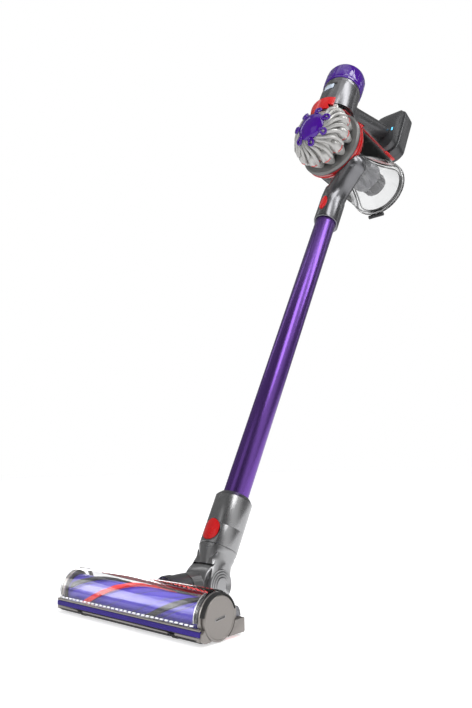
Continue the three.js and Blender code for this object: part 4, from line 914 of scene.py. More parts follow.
@dataclass
class NeckAndWand:
    """Elbow, forked neck, cuff with its button, and the wand tube."""

    layout: Layout
    joint: float = 45.1
    cuff: float = 25.4
    cuff_top: float = 112.3
    tube: float = 17.5
    button_z: float = 62.1

    def build(self) -> None:
        """Builds the neck and the wand."""
        self.make_elbow()
        self.make_fork()
        self.make_cuff()
        self.make_tube()

    def make_elbow(self) -> None:
        """Elbow drum with the pipe that turns in the head."""
        barrel = [
            (0, -18), (23.4, -18), (24.4, -17), (25.2, -12), (25.8, -6), (26, 0), (25.8, 6), (25.2, 12),
            (24.4, 17), (23.4, 18), (0, 18)
        ]
        drum = Bench.turn("elbow_shell", barrel, 96)
        drum.data.transform(self.layout.head.axle(*self.layout.pivot).into(self.layout.head))
        pipe = Bench.turn(
            "elbow_pipe",
            [
                (13, 60), (14.2, 60), (14.2, 70.4), (17.9, 70.4), (17.9, 110), (0, 110), (0, 104),
                (13, 102), (13, 60)
            ],
            96
        )
        pipe.data.transform(Matrix.Translation((0, 0, 26)) @ Matrix.Rotation(radians(-90), 4, "X"))
        Bench.carve(drum, pipe, Cut.ADD)
        Bench.soften(drum, 0.4, 2)
        self.layout.head.put(drum, Body.ELBOW, "nickel", NICKEL, "elbow")

    def make_fork(self) -> None:
        """Neck cone that straddles the elbow, with the ridged hub cover."""
        top = self.joint - 0.35
        cone = Bench.turn(
            "fork_cone",
            [
                (12, 19.4), (19.6, 19.4), (20.3, 26), (25.1, 41), (self.cuff, top - 1.5),
                (self.cuff, top - 0.4), (25, top), (12, top), (12, 19.4)
            ],
            96,
        )
        cheek = Bench.turn(
            "fork_cheeks",
            [(0, -23.3), (16.6, -23.3), (18, -21.8), (18, 21.8), (16.6, 23.3), (0, 23.3)], 72
        )
        cheek.data.transform(self.layout.pin.into(self.layout.neck))
        web = Bench.extrude(
            "fork_web", [(-17.6, 0), (17.6, 0), (18.6, 26), (17, 36), (-17, 36), (-18.6, 26)], -23.3,
            23.3
        )
        plan = Bench.turn(
            "fork_plan", [(0, -1), (27.5, -1), (26.5, 12), (23.4, 26), (23.6, 30), (25, 38), (0, 38)],
            96
        )
        Bench.carve(web, plan, Cut.KEEP)
        Bench.carve(cone, cheek, Cut.ADD)
        Bench.carve(cone, web, Cut.ADD)
        Bench.carve(cone, Bench.block("fork_slot", (-18.4, -60, -60), (18.4, 60, 19.6)))
        room = Bench.cylinder("drum_room", 26.5, -18.4, 18.4, 96)
        room.data.transform(self.layout.pin.into(self.layout.neck))
        Bench.carve(cone, room)
        Bench.soften(cone, 0.7, 3)
        self.layout.neck.put(cone, Body.NECK, "nickel", NICKEL, "neck_fork")
        ridges = [(0, 23.7), (19.4, 23.7), (19.4, 24.2)]
        for index in range(4):
            r, rise = 18.4 - index * 3.1, 24.0 + index * 0.7
            ridges += [
                (r + 0.7, rise), (r + 0.5, rise + 0.9), (r, rise + 1.2), (r - 0.8, rise + 1.1),
                (r - 1.5, rise + 0.4)
            ]
        ridges.append((0, 26.9))
        hub = Bench.turn("ridged_hub", ridges, 96)
        self.layout.pin.put(hub, Body.NECK, "nickel", NICKEL, "hub_cover")

    def make_cuff(self) -> None:
        """Lower cuff with its seams and matte bevel."""
        r, z0, z1 = self.cuff, self.joint, self.cuff_top
        seam = z0 + 26.6
        profile = [
            (17.9, z0), (r - 0.5, z0), (r, z0 + 0.5), (r, seam - 0.4), (r - 0.45, seam),
            (r, seam + 0.4), (r, z1)
        ]
        profile += [(r - 0.6, z1 + 0.25), (20.3, z1 + 5.6), (19, z1 + 6), (17.9, z1 + 6), (17.9, z0)]
        cuff = Bench.turn("cuff_shell", profile, 128)
        Bench.carve(cuff, Bench.oval(27, 29, -40, -20.4, self.button_z))
        Bench.soften(cuff, 0.25, 2, 40)
        self.layout.neck.put(cuff, Body.WAND, "nickel", NICKEL, "wand_cuff")
        bevel = Bench.turn(
            "cuff_bevel_ring",
            [
                (r - 0.35, z1 + 0.55), (20.4, z1 + 5.75), (20.2, z1 + 5.5), (r - 0.75, z1 + 0.3),
                (r - 0.35, z1 + 0.55)
            ],
            128
        )
        self.layout.neck.put(bevel, Body.WAND, "nickel", DARK_NICKEL)
        face = Bench.oval(26, 28, -40, -22.8, self.button_z)
        Bench.carve(face, Bench.cylinder("button_round", r + 0.6, 40, 120, 128), Cut.KEEP)
        Bench.soften(face, 0.5, 3)
        self.layout.neck.put(face, Body.HEAD_BUTTON, "red", RED, "head_release_button")

    def make_tube(self) -> None:
        """Anodised wand tube."""
        r = self.tube
        z0, z1 = self.joint + 20, self.layout.mouth + 42
        tube = Bench.turn("wand_shell", [(r - 1.4, z0), (r, z0), (r, z1), (r - 1.4, z1), (r - 1.4, z0)], 128)
        Bench.soften(tube, 0.3, 2)
        self.layout.neck.put(tube, Body.WAND, "violet_anodised", VIOLET, "wand_tube")


# ------------------------------------------------------- hand-held unit


@dataclass
class HandUnit:
    """Socket and duct, motor housing, exhaust filter, handle and battery."""

    layout: Layout
    socket: float = 21.3
    duct: float = 20.0
    housing: float = 35.3
    top: float = 277.6
    cap: float = 36.6
    cap_length: float = 43.6
    grip: float = 16.0

    def build(self) -> None:
        """Builds the hand-held unit."""
        self.make_duct()
        self.make_housing()
        self.make_filter_cap()
        self.make_handle()
        self.make_dock()
        self.make_battery()

    def bin_tool(self, radius: float, low: float, high: float) -> bpy.types.Object:
        """Round cutter on the bin's axis, in the unit's frame."""
        tool = Bench.cylinder("bin_cutter", radius, low, high, 96)
        tool.data.transform(self.layout.bin.into(self.layout.unit))
        return tool

    def make_duct(self) -> None:
        """Wand socket and the pipe that leads into the bin."""
        r = self.socket
        profile = [
            (0, 45), (18, 44), (18, 0.3), (19.3, 0), (20.4, 0.6), (r, 4), (r, 36), (r - 0.3, 36.3),
            (r - 0.3, 36.7), (r, 37), (r, 60), (20, 78), (0, 80)
        ]
        socket = Bench.turn("socket_shell", profile, 96)
        flank = Bench.turn("socket_flank", [(0, 1.5), (13, 1.5), (14.4, 4), (14.6, 60), (9, 84), (0, 88)], 64)
        flank.data.transform(Matrix.Translation((0, 12, 0)))
        Bench.carve(flank, Bench.cylinder("flank_bore", 18.2, -5, 45, 96))
        route = [
            (0, 0, 36), (0, 0, 50), (3, -0.8, 66), (10, -3, 81), (19, -6.6, 94), (28, -10.4, 105),
            (36, -14, 116)
        ]
        pipe = Bench.rope("duct_pipe", route, self.duct + 1.2)
        Bench.clear()
        bpy.ops.mesh.primitive_uv_sphere_add(radius=self.duct + 1.2, segments=64, ring_count=32)
        ball = bpy.context.object
        ball.data.transform(Matrix.Translation((36, -14, 116)))
        for shape in (flank, pipe, ball):
            Bench.carve(socket, shape, Cut.ADD)
        Bench.carve(socket, self.bin_tool(60.6, -200, 90))
        Bench.carve(socket, Bench.oval(13.8, 31.8, -40, -18.6, 31))
        Bench.soften(socket, 0.5, 3, 40)
        self.layout.unit.put(socket, Body.UNIT, "nickel", DARK_NICKEL, "inlet_duct", smooth=40)
        button = Bench.oval(13, 31, -40, -20.2, 31)
        Bench.carve(button, Bench.cylinder("button_round", 22.6, -10, 80, 128), Cut.KEEP)
        Bench.soften(button, 0.5, 3)
        self.layout.unit.put(button, Body.UNIT_BUTTON, "red", RED, "wand_release_button")

    def pack_cutter(self, distance: float, far: float = 400) -> bpy.types.Object:
        """Slab on the handle side of the cyclones, in the motor's frame."""
        tool = Bench.block("pack_cutter", (-90, distance, -260), (90, far, 260))
        tool.data.transform(self.layout.bin.into(self.layout.motor_axis))
        return tool

    def make_housing(self) -> None:
        """Motor housing with its slanted foot, shoulder line and slider pocket."""
        r, t = self.housing, self.top
        shell = Bench.turn(
            "housing_shell",
            [
                (0, 130), (r, 130), (r, t - 8.4), (r - 0.35, t - 8), (r, t - 7.6), (r, t - 0.6),
                (r - 0.6, t), (r - 3, t), (r - 3, t - 9), (0, t - 9)
            ],
            128
        )
        Bench.carve(shell, self.pack_cutter(62.6), Cut.KEEP)
        room = Bench.turn(
            "slider_room",
            [(r - 1.4, 244.4), (r + 6, 244.4), (r + 6, 260.8), (r - 1.4, 260.8), (r - 1.4, 244.4)], 32,
            50, -115
        )
        Bench.carve(shell, room)
        Bench.soften(shell, 0.5, 3)
        self.layout.motor_axis.put(shell, Body.UNIT, "nickel", DARK_NICKEL, "motor_housing")
        slide = Bench.turn(
            "slider_face",
            [
                (r - 0.8, 246.6), (r + 0.9, 246.6), (r + 1.3, 248), (r + 1.3, 257.2), (r + 0.9, 258.6),
                (r - 0.8, 258.6), (r - 0.8, 246.6)
            ],
            24, 31, -105.5
        )
        Bench.soften(slide, 1.2, 4)
        self.layout.motor_axis.put(slide, Body.SLIDER, "blue_light", PALE, "mode_slider")

    def make_filter_cap(self) -> None:
        """Tinted filter cap with its ribs, over a twist ring."""
        r, base = self.cap, self.top + 0.35
        ring = Bench.turn(
            "twist_ring",
            [
                (32.2, base), (r - 0.8, base), (r, base + 0.7), (r, base + 4.3), (r - 0.5, base + 5),
                (32.2, base + 5), (32.2, base)
            ],
            128
        )
        self.layout.motor_axis.put(ring, Body.BAYONET, "violet_clear", VIOLET_CLEAR, "bayonet_ring")
        low, high = base + 5.4, base + self.cap_length
        cup_profile = [
            (r - 2.2, low), (r, low), (r + 0.3, low + 2.5), (r, high - 8), (r - 2, high - 3),
            (r - 6, high - 0.6), (r - 12, high), (9, high), (7.5, high - 1.2), (0, high - 1.4)
        ]
        cup_profile += [
            (0, high - 3), (r - 9, high - 2.6), (r - 4, high - 6), (r - 2.2, high - 10), (r - 2.2, low)
        ]
        cup = Bench.turn("cap_shell", cup_profile, 128)
        slot = Bench.block("cap_slot", (14, -1.3, high - 7), (26, 1.3, high + 3))
        slots = Bench.copies(slot, [Matrix.Rotation(2 * pi * i / 16, 4, "Z") for i in range(16)], "cap_slots")
        Bench.carve(cup, slots)
        Bench.soften(cup, 0.3, 2)
        self.layout.motor_axis.put(cup, Body.FILTER, "violet_clear", VIOLET_CLEAR, "filter_cap")
        rib = Bench.block("cap_rib", (r - 0.5, -0.8, low + 3), (r + 0.55, 0.8, high - 9), 0.3)
        ribs = Bench.copies(
            rib, [Matrix.Rotation(2 * pi * (i + 0.5) / 18, 4, "Z") for i in range(18)], "cap_ribs"
        )
        self.layout.motor_axis.put(ribs, Body.FILTER, "violet_clear", VIOLET_CLEAR)

    def make_handle(self) -> None:
        """Pistol handle and its trigger."""
        r = self.grip
        length = 144.5
        profile = [
            (0, -14), (r + 3.4, -14), (r + 3, -4), (r + 1, 6), (r, 16), (r, length - 26),
            (r + 0.6, length - 14), (r + 1.6, length - 2), (r + 1.6, length + 4), (0, length + 4)
        ]
        shell = Bench.turn("handle_shell", profile, 96)
        room = Bench.cylinder("housing_room", self.housing + 0.3, 80, 400, 96)
        room.data.transform(self.layout.motor_axis.into(self.layout.grip))
        Bench.carve(shell, room)
        cap_room = Bench.cylinder("cap_room", self.cap + 0.9, self.top, 400, 96)
        cap_room.data.transform(self.layout.motor_axis.into(self.layout.grip))
        Bench.carve(shell, cap_room)
        Bench.carve(shell, Bench.block("trigger_room", (-7.6, 4, 8), (7.6, 40, 42)))
        battery_room = Bench.block("battery_room", (-60, 95.6, 200), (60, 200, 500))
        battery_room.data.transform(self.layout.unit.into(self.layout.grip))
        Bench.carve(shell, battery_room)
        Bench.soften(shell, 0.5, 3)
        self.layout.grip.put(shell, Body.UNIT, "dark_grey", HANDLE, "handle_grip")
        outline = [
            (11.5, 9), (17.5, 9.3), (20.6, 15), (21.5, 23), (20.6, 31), (17.8, 39), (12.5, 39),
            (9.5, 24)
        ]
        trigger = Bench.extrude("trigger_blade", outline, -7, 7)
        Bench.soften(trigger, 1.3, 4)
        self.layout.grip.put(trigger, Body.TRIGGER, "red", RED, "trigger")

    def make_dock(self) -> None:
        """Foot of the handle that carries the battery."""
        outline = [
            (95.6, 292), (95.6, 417), (91, 414), (86.5, 404), (75.8, 363), (75.4, 345), (75.6, 327),
            (80, 306), (84, 292)
        ]
        dock = Bench.extrude("dock_shell", outline, -27, 27)
        face = Bench.extrude("dock_face", self.rounded(27, 63, 21), 60, 100)
        face.data.transform(Matrix(((0, 1, 0, 0), (1, 0, 0, 0), (0, 0, 1, 354.5), (0, 0, 0, 1))))
        Bench.close(face)
        Bench.carve(dock, face, Cut.KEEP)
        Bench.soften(dock, 1.6, 4, 25)
        self.layout.unit.put(dock, Body.UNIT, "dark_grey", HANDLE, "battery_dock")
        lamp = Bench.block("lamp", (20.4, 74.6, 329), (23.4, 76, 337.6), 0.6)
        self.layout.unit.put(lamp, Body.UNIT, "blue_light", LAMP, "charge_light")
        stripe = Bench.block("dock_trim", (-24, 94.9, 300), (24, 95.9, 408), 0.3)
        self.layout.unit.put(stripe, Body.UNIT, "black", BLACK)

    @staticmethod
    def rounded(half: float, rise: float, corner: float) -> Profile:
        """Outline of a rectangle with round corners, about its middle."""
        outline = []
        for quarter in range(4):
            for step in range(13):
                angle = (quarter + step / 12) * pi / 2
                sx = 1 if quarter in (0, 3) else -1
                sz = 1 if quarter in (0, 1) else -1
                outline.append(
                    (
                        sx * (half - corner) + corner * cos(angle),
                        sz * (rise - corner) + corner * sin(angle)
                    )
                )
        return outline

    def make_battery(self) -> None:
        """Battery slab with round ends and a bright edge line."""
        half, length, corner = 31.0, 135.0, 24.0
        middle = 287 + length / 2
        outline = self.rounded(half, length / 2, corner)
        slab = Bench.extrude("battery_shell", outline, 0, 28)
        slab.data.transform(Matrix(((0, 1, 0, 0), (1, 0, 0, 96), (0, 0, 1, middle), (0, 0, 0, 1))))
        Bench.close(slab)
        Bench.soften(slab, 2.2, 4, 50)
        self.layout.unit.put(slab, Body.UNIT, "dark_grey", HANDLE, "battery_case")
        seam = Bench.extrude("battery_seam", [(x * 1.004, z * 1.002) for x, z in outline], 15.6, 16.2)
        seam.data.transform(Matrix(((0, 1, 0, 0), (1, 0, 0, 96), (0, 0, 1, middle), (0, 0, 0, 1))))
        Bench.close(seam)
        self.layout.unit.put(seam, Body.UNIT, "black", BLACK)


# ------------------------------------------------------- bin and cyclones


@dataclass
class DustBin:
    """Clear bin with its collar, lid, catch, runner and push rod."""

    layout: Layout
    radius: float = 55.0
    wall: float = 2.2
    bottom: float = -170.5

    def build(self) -> None:
        """Builds the bin."""
        self.make_bin()
        self.make_lid()
        self.make_runner()

    def make_bin(self) -> None:
        """Bin wall, tinted collar and hinge ears."""
        r, w, low = self.radius, self.wall, self.bottom + 0.35
        profile = [
            (r - w, low), (r + 1.6, low), (r + 1.6, low + 4), (r + 0.4, low + 6), (r, low + 9),
            (r, -23), (r - w, -23), (r - w, low)
        ]
        wall = Bench.turn("bin_wall", profile, 128)
        Bench.carve(wall, self.duct_mouth())
        Bench.soften(wall, 0.4, 2)
        self.layout.bin.put(wall, Body.BIN, "clear", BIN_CLEAR, "bin_body")
        collar = Bench.turn(
            "collar_shell",
            [
                (48.6, -22.3), (r + 0.8, -22.3), (57.4, -17), (59.2, -9), (59.6, -7.6), (59.6, -4.6),
                (48.6, -4.6), (48.6, -22.3)
            ],
            128
        )
        Bench.carve(collar, self.duct_mouth())
        Bench.soften(collar, 0.3, 2)
        self.layout.bin.put(collar, Body.BIN, "red_clear", RED_CLEAR, "bin_collar")
        ring = Bench.turn(
            "collar_band",
            [(59.75, -13), (59.95, -12.6), (59.75, -12.2), (58.6, -12.2), (58.6, -13), (59.75, -13)],
            128
        )
        self.layout.bin.put(ring, Body.BIN, "red_clear", RED)
        for side in (-1, 1):
            ear = Bench.turn(
                "bin_ear_%d" % (side + 1),
                [
                    (1.7, side * 12 - 3.4), (3.6, side * 12 - 3.4), (3.6, side * 12 + 3.4),
                    (1.7, side * 12 + 3.4), (1.7, side * 12 - 3.4)
                ],
                40
            )
            ear.data.transform(self.layout.bin.axle(-62, self.bottom + 1).into(self.layout.bin))
            self.layout.bin.put(ear, Body.BIN, "black", BLACK)

    def duct_mouth(self) -> bpy.types.Object:
        """Round tool for the opening that faces the inlet duct."""
        Bench.clear()
        bpy.ops.mesh.primitive_uv_sphere_add(radius=16.8, segments=48, ring_count=24)
        mouth = bpy.context.object
        mouth.data.transform(self.layout.unit.into(self.layout.bin) @ Matrix.Translation((34, -10, 120)))
        return mouth

    def make_lid(self) -> None:
        """Clear lid with a black seal and its hinge knuckle."""
        b = self.bottom
        profile = [
            (0, b - 7), (22, b - 7), (49, b - 5.6), (55, b - 4.4), (57, b - 2.6), (57, b - 0.1),
            (53, b - 0.1), (51.6, b - 2.6), (46, b - 3.4), (22, b - 4), (0, b - 4)
        ]
        dish = Bench.turn("lid_dish", profile, 128)
        Bench.soften(dish, 0.4, 2)
        self.layout.bin.put(dish, Body.LID, "clear", BIN_CLEAR, "bin_lid")
        seal = Bench.turn(
            "lid_gasket",
            [
                (52.3, b + 0.2), (52.3, b + 3), (51, b + 3.6), (49.6, b + 3), (49.6, b + 0.2),
                (52.3, b + 0.2)
            ],
            128
        )
        self.layout.bin.put(seal, Body.LID, "rubber", RUBBER, "lid_seal")
        inner = Bench.turn(
            "lid_inner_ring",
            [(46.6, b - 3.2), (46.6, b + 1.8), (45.2, b + 1.8), (45.2, b - 3.2), (46.6, b - 3.2)], 128
        )
        self.layout.bin.put(inner, Body.LID, "black", BLACK)
        knuckle = Bench.turn("lid_knuckle", [(1.9, -8), (3.6, -8), (3.6, 8), (1.9, 8), (1.9, -8)], 40)
        knuckle.data.transform(self.layout.bin.axle(-62, b + 1).into(self.layout.bin))
        arm = Bench.block("lid_arm", (-7.6, -62, b - 3), (7.6, -54, b - 0.8), 0.5)
        Bench.carve(arm, Bench.cylinder("pin_room", 1.9, -10, 10, 24))
        self.layout.bin.put(knuckle, Body.LID, "black", BLACK)
        self.layout.bin.put(arm, Body.LID, "black", BLACK)

    def make_runner(self) -> None:
        """Runner behind the bin, push rod and catch."""
        low, high = -140.5, -24.0
        band = Bench.turn(
            "runner_shell",
            [(61.2, low), (63.2, low), (64.2, low + 4), (64.2, high), (61.2, high), (61.2, low)], 24,
            16, 82
        )
        room = Bench.cylinder("housing_room", 35.7, 100, 400, 96)
        room.data.transform(self.layout.motor_axis.into(self.layout.bin))
        Bench.carve(band, room)
        Bench.soften(band, 0.8, 3)
        self.layout.bin.put(band, Body.UNIT, "dark_grey", GRAPHITE, "runner_spine")
        rod = Bench.block("rod_shaft", (27.2, 54.8, -138.3), (30.8, 58.2, 5.6), 0.5)
        self.layout.bin.put(rod, Body.ROD, "red", DEEP_RED, "push_rod")
        plate = Bench.block("catch_plate", (-9, 57.5, -178), (31, 60.2, -144.6), 0.8)
        lip = Bench.block("catch_lip", (-7, 54.9, -178), (7, 58.5, -175.6), 0.4)
        Bench.carve(plate, lip, Cut.ADD)
        self.layout.bin.put(plate, Body.CATCH, "red", RED, "bin_catch")


@dataclass
class CyclonePack:
    """Cyclone crown with its petals, cones, rim, shroud and pre-filter."""

    layout: Layout
    petals: int = 12
    ring: float = 44.0
    base: float = 21.0
    top: float = 58.0

    def build(self) -> None:
        """Builds the cyclone pack."""
        self.make_crown()
        self.make_cones()
        self.make_rim()
        self.make_shroud()
        self.make_lever()
        self.make_pre_filter()

    def angle(self, index: float) -> float:
        """Angle of a petal about the axis, in radians."""
        return 2 * pi * (index + 0.5) / self.petals

    def shown(self) -> list[int]:
        """Petals that stand clear of the saddle under the motor housing."""
        return [index for index in range(self.petals) if index not in (2, 3)]

    def make_crown(self) -> None:
        """Dome, lobes over the cones and paired ribs that sweep over them."""
        b = self.base
        dome = Bench.turn(
            "crown_dome",
            [
                (16, b), (46, b), (47, b + 8), (44.5, b + 16), (38, b + 25), (29, b + 33),
                (25, b + 35.6), (16, b + 36), (16, b)
            ],
            128,
        )
        lobe = Bench.turn(
            "crown_lobe",
            [
                (0, b + 0.2), (11.2, b + 0.2), (12, b + 1.2), (12, b + 8), (11, b + 13), (8.4, b + 17),
                (4.4, b + 19.4), (0, b + 20.2)
            ],
            40,
        )
        places = []
        for index in self.shown():
            turned = Matrix.Rotation(self.angle(index), 4, "Z")
            places.append(
                turned @ Matrix.Translation((self.ring, 0, 0)) @ Matrix.Diagonal((1.05, 0.86, 1, 1))
            )
        lobes = Bench.copies(lobe, places, "crown_lobes")
        self.layout.bin.put(dome, Body.CYCLONES, "light_grey", CYCLONE, "cyclone_crown")
        self.layout.bin.put(lobes, Body.CYCLONES, "light_grey", CYCLONE)
        for side, name in ((-1, "inner"), (1, "outer")):
            rib = Bench.rope("crown_rib", self.rib_route(side), 3.4)
            turns = [Matrix.Rotation(2 * pi * i / self.petals, 4, "Z") for i in self.shown()]
            self.layout.bin.put(
                Bench.copies(rib, turns, "crown_ribs_" + name), Body.CYCLONES, "light_grey", CYCLONE
            )
        self.make_saddle()
        self.make_gasket()

    def rib_route(self, side: int) -> Points:
        """Route of one rib of a pair, from the centre out over a lobe."""
        shape = (
            (22, 34.5, -0.62), (27, 35.5, -0.46), (33, 32.5, -0.24), (39, 27.8, -0.04),
            (45, 22.0, 0.06), (50.6, 14.0, 0.08), (53.4, 5.5, 0.05), (52.8, 3.4, 0.03)
        )
        route = []
        for index, (r, rise, swing) in enumerate(shape):
            spread = 0.1 + 0.055 * index / len(shape)
            angle = self.angle(0) + swing + side * spread
            route.append((r * cos(angle), r * sin(angle), self.base + rise))
        return route

    def make_saddle(self) -> None:
        """Smooth shoulder between the crown and the motor housing."""
        saddle = Bench.cylinder("crown_saddle", 34.5, 120, 300, 96)
        saddle.data.transform(self.layout.motor_axis.into(self.layout.bin))
        keep = Bench.block("saddle_keep", (-60, 20, self.base), (60, 61.8, self.base + 12))
        Bench.carve(saddle, keep, Cut.KEEP)
        Bench.soften(saddle, 1.5, 4)
        self.layout.bin.put(saddle, Body.CYCLONES, "light_grey", CYCLONE)

    def make_gasket(self) -> None:
        """Thin scalloped line under the lobes."""
        loop = [(12.25 * cos(2 * pi * i / 24), 12.25 * sin(2 * pi * i / 24), self.base) for i in range(24)]
        line = Bench.rope("gasket_loop", loop, 0.75, loop=True)
        places = []
        for index in range(self.petals):
            turned = Matrix.Rotation(self.angle(index), 4, "Z")
            places.append(
                turned @ Matrix.Translation((self.ring, 0, 3.2)) @ Matrix.Diagonal((1.05, 0.86, 1, 1))
            )
        gasket = Bench.copies(line, places, "scalloped_gasket")
        self.layout.bin.put(gasket, Body.CYCLONES, "red", RED, "crown_gasket")

    def make_cones(self) -> None:
        """Small cones between the rim and the crown."""
        b = self.base - 0.4
        cone = Bench.turn(
            "small_cone",
            [(0, 3.6), (4.6, 3.6), (5.2, 4.4), (8.2, 12), (10.6, b - 2), (10.9, b), (0, b)], 40
        )
        places = []
        for index in range(self.petals):
            turned = Matrix.Rotation(self.angle(index), 4, "Z")
            places.append(turned @ Matrix.Translation((self.ring + 0.6, 0, 0)))
        cones = Bench.copies(cone, places, "small_cones")
        self.layout.bin.put(cones, Body.CYCLONES, "light_grey", CYCLONE, "cyclone_cones")
        tube = Bench.turn("cone_back", [(18.4, 3.4), (35, 3.4), (38, b), (18.4, b), (18.4, 3.4)], 96)
        self.layout.bin.put(tube, Body.CYCLONES, "dark_grey", GRAPHITE)

    def make_rim(self) -> None:
        """Rim plate over the bin's collar."""
        profile = [
            (18.2, -4), (59.4, -4), (60, -3.4), (60, -1.2), (59, 0), (57.2, 2.4), (54, 3.1), (36, 3.1),
            (36, 0.2), (18.2, 0.2), (18.2, -4)
        ]
        rim = Bench.turn("rim_plate", profile, 160)
        Bench.soften(rim, 0.4, 2)
        self.layout.bin.put(rim, Body.CYCLONES, "dark_grey", RIM, "cyclone_rim")
        edge = Bench.turn(
            "rim_edge", [(60.05, -3.3), (60.05, -1.4), (58, -1.4), (58, -3.3), (60.05, -3.3)], 160
        )
        self.layout.bin.put(edge, Body.CYCLONES, "dark_grey", GRAPHITE)

    def make_shroud(self) -> None:
        """Shroud, its stepped tail and the skirt."""
        profile = [
            (32, -124), (34, -124), (36, -122), (36, -90), (38, -87), (42, -84), (42, -60),
            (41.6, -59.6), (41.6, -58.8), (42, -58.4), (42, -30), (44, -26), (44, -4.6), (40, -4.6),
            (40, -82), (34, -88), (34, -121), (32, -122), (32, -124)
        ]
        shroud = Bench.turn("shroud_shell", profile, 128)
        self.layout.bin.put(shroud, Body.CYCLONES, "dark_grey", DARK_NICKEL, "shroud")
        skirt = Bench.turn(
            "skirt_shell",
            [
                (0, -160), (22.6, -160), (24.6, -158), (25, -156), (25, -128), (29.4, -124.4),
                (29.4, -121.2), (22, -121.2), (22, -156), (0, -157)
            ],
            96
        )
        self.layout.bin.put(skirt, Body.CYCLONES, "black", GRAPHITE, "shroud_skirt")
        fin = Bench.block("skirt_fin", (24.6, -0.7, -156), (26, 0.7, -130), 0.3)
        fins = Bench.copies(fin, [Matrix.Rotation(2 * pi * i / 16, 4, "Z") for i in range(16)], "skirt_fins")
        self.layout.bin.put(fins, Body.CYCLONES, "black", GRAPHITE)

    def make_lever(self) -> None:
        """Lift lever, a crescent in front of the motor housing's foot."""
        profile = [
            (36.6, 178), (38.6, 178), (40.4, 190), (42.4, 204), (42.6, 208), (41, 209.2), (36.6, 209.2),
            (36.6, 178)
        ]
        band = Bench.turn("lever_band", profile, 48, 80, -133)
        for reach, top in ((58.2, self.base + 16.7), (47.6, 80)):
            room = Bench.cylinder("crown_room", reach, 0, top, 96)
            room.data.transform(self.layout.bin.into(self.layout.motor_axis))
            Bench.carve(band, room)
        Bench.soften(band, 0.9, 3)
        self.layout.motor_axis.put(band, Body.CYCLONES, "red", RED, "lift_lever")

    def make_pre_filter(self) -> None:
        """Tinted centre cap with teardrop loops round its edge."""
        b = self.top + 0.35
        cap = Bench.turn(
            "filter_dome",
            [
                (0, b - 12), (15.4, b - 12), (15.4, b - 0.6), (24.4, b - 0.6), (25.6, b + 0.4),
                (25.4, b + 2), (22.4, b + 5), (17, b + 7.6), (9, b + 9.6), (0, b + 10.4)
            ],
            96
        )
        self.layout.bin.put(cap, Body.PRE_FILTER, "violet_clear", VIOLET_CLEAR, "pre_filter_cap")
        loop = []
        for i in range(20):
            swing = 2 * pi * i / 20
            taper = 0.6 if cos(swing) < 0 else 1.0
            loop.append((6.4 * cos(swing), 5.4 * sin(swing) * taper, 0.0))
        drop = Bench.rope("drop_loop", loop, 2.0, loop=True)
        places = []
        for index in range(7):
            turned = Matrix.Rotation(2 * pi * (index + 0.3) / 7, 4, "Z")
            places.append(
                turned @ Matrix.Translation((30.5, 0, b + 1.2)) @ Matrix.Rotation(radians(26), 4, "Y")
            )
        drops = Bench.copies(drop, places, "cap_loops")
        self.layout.bin.put(drops, Body.PRE_FILTER, "violet_clear", VIOLET_CLEAR)


# ---------------------------------------------------------------- studio


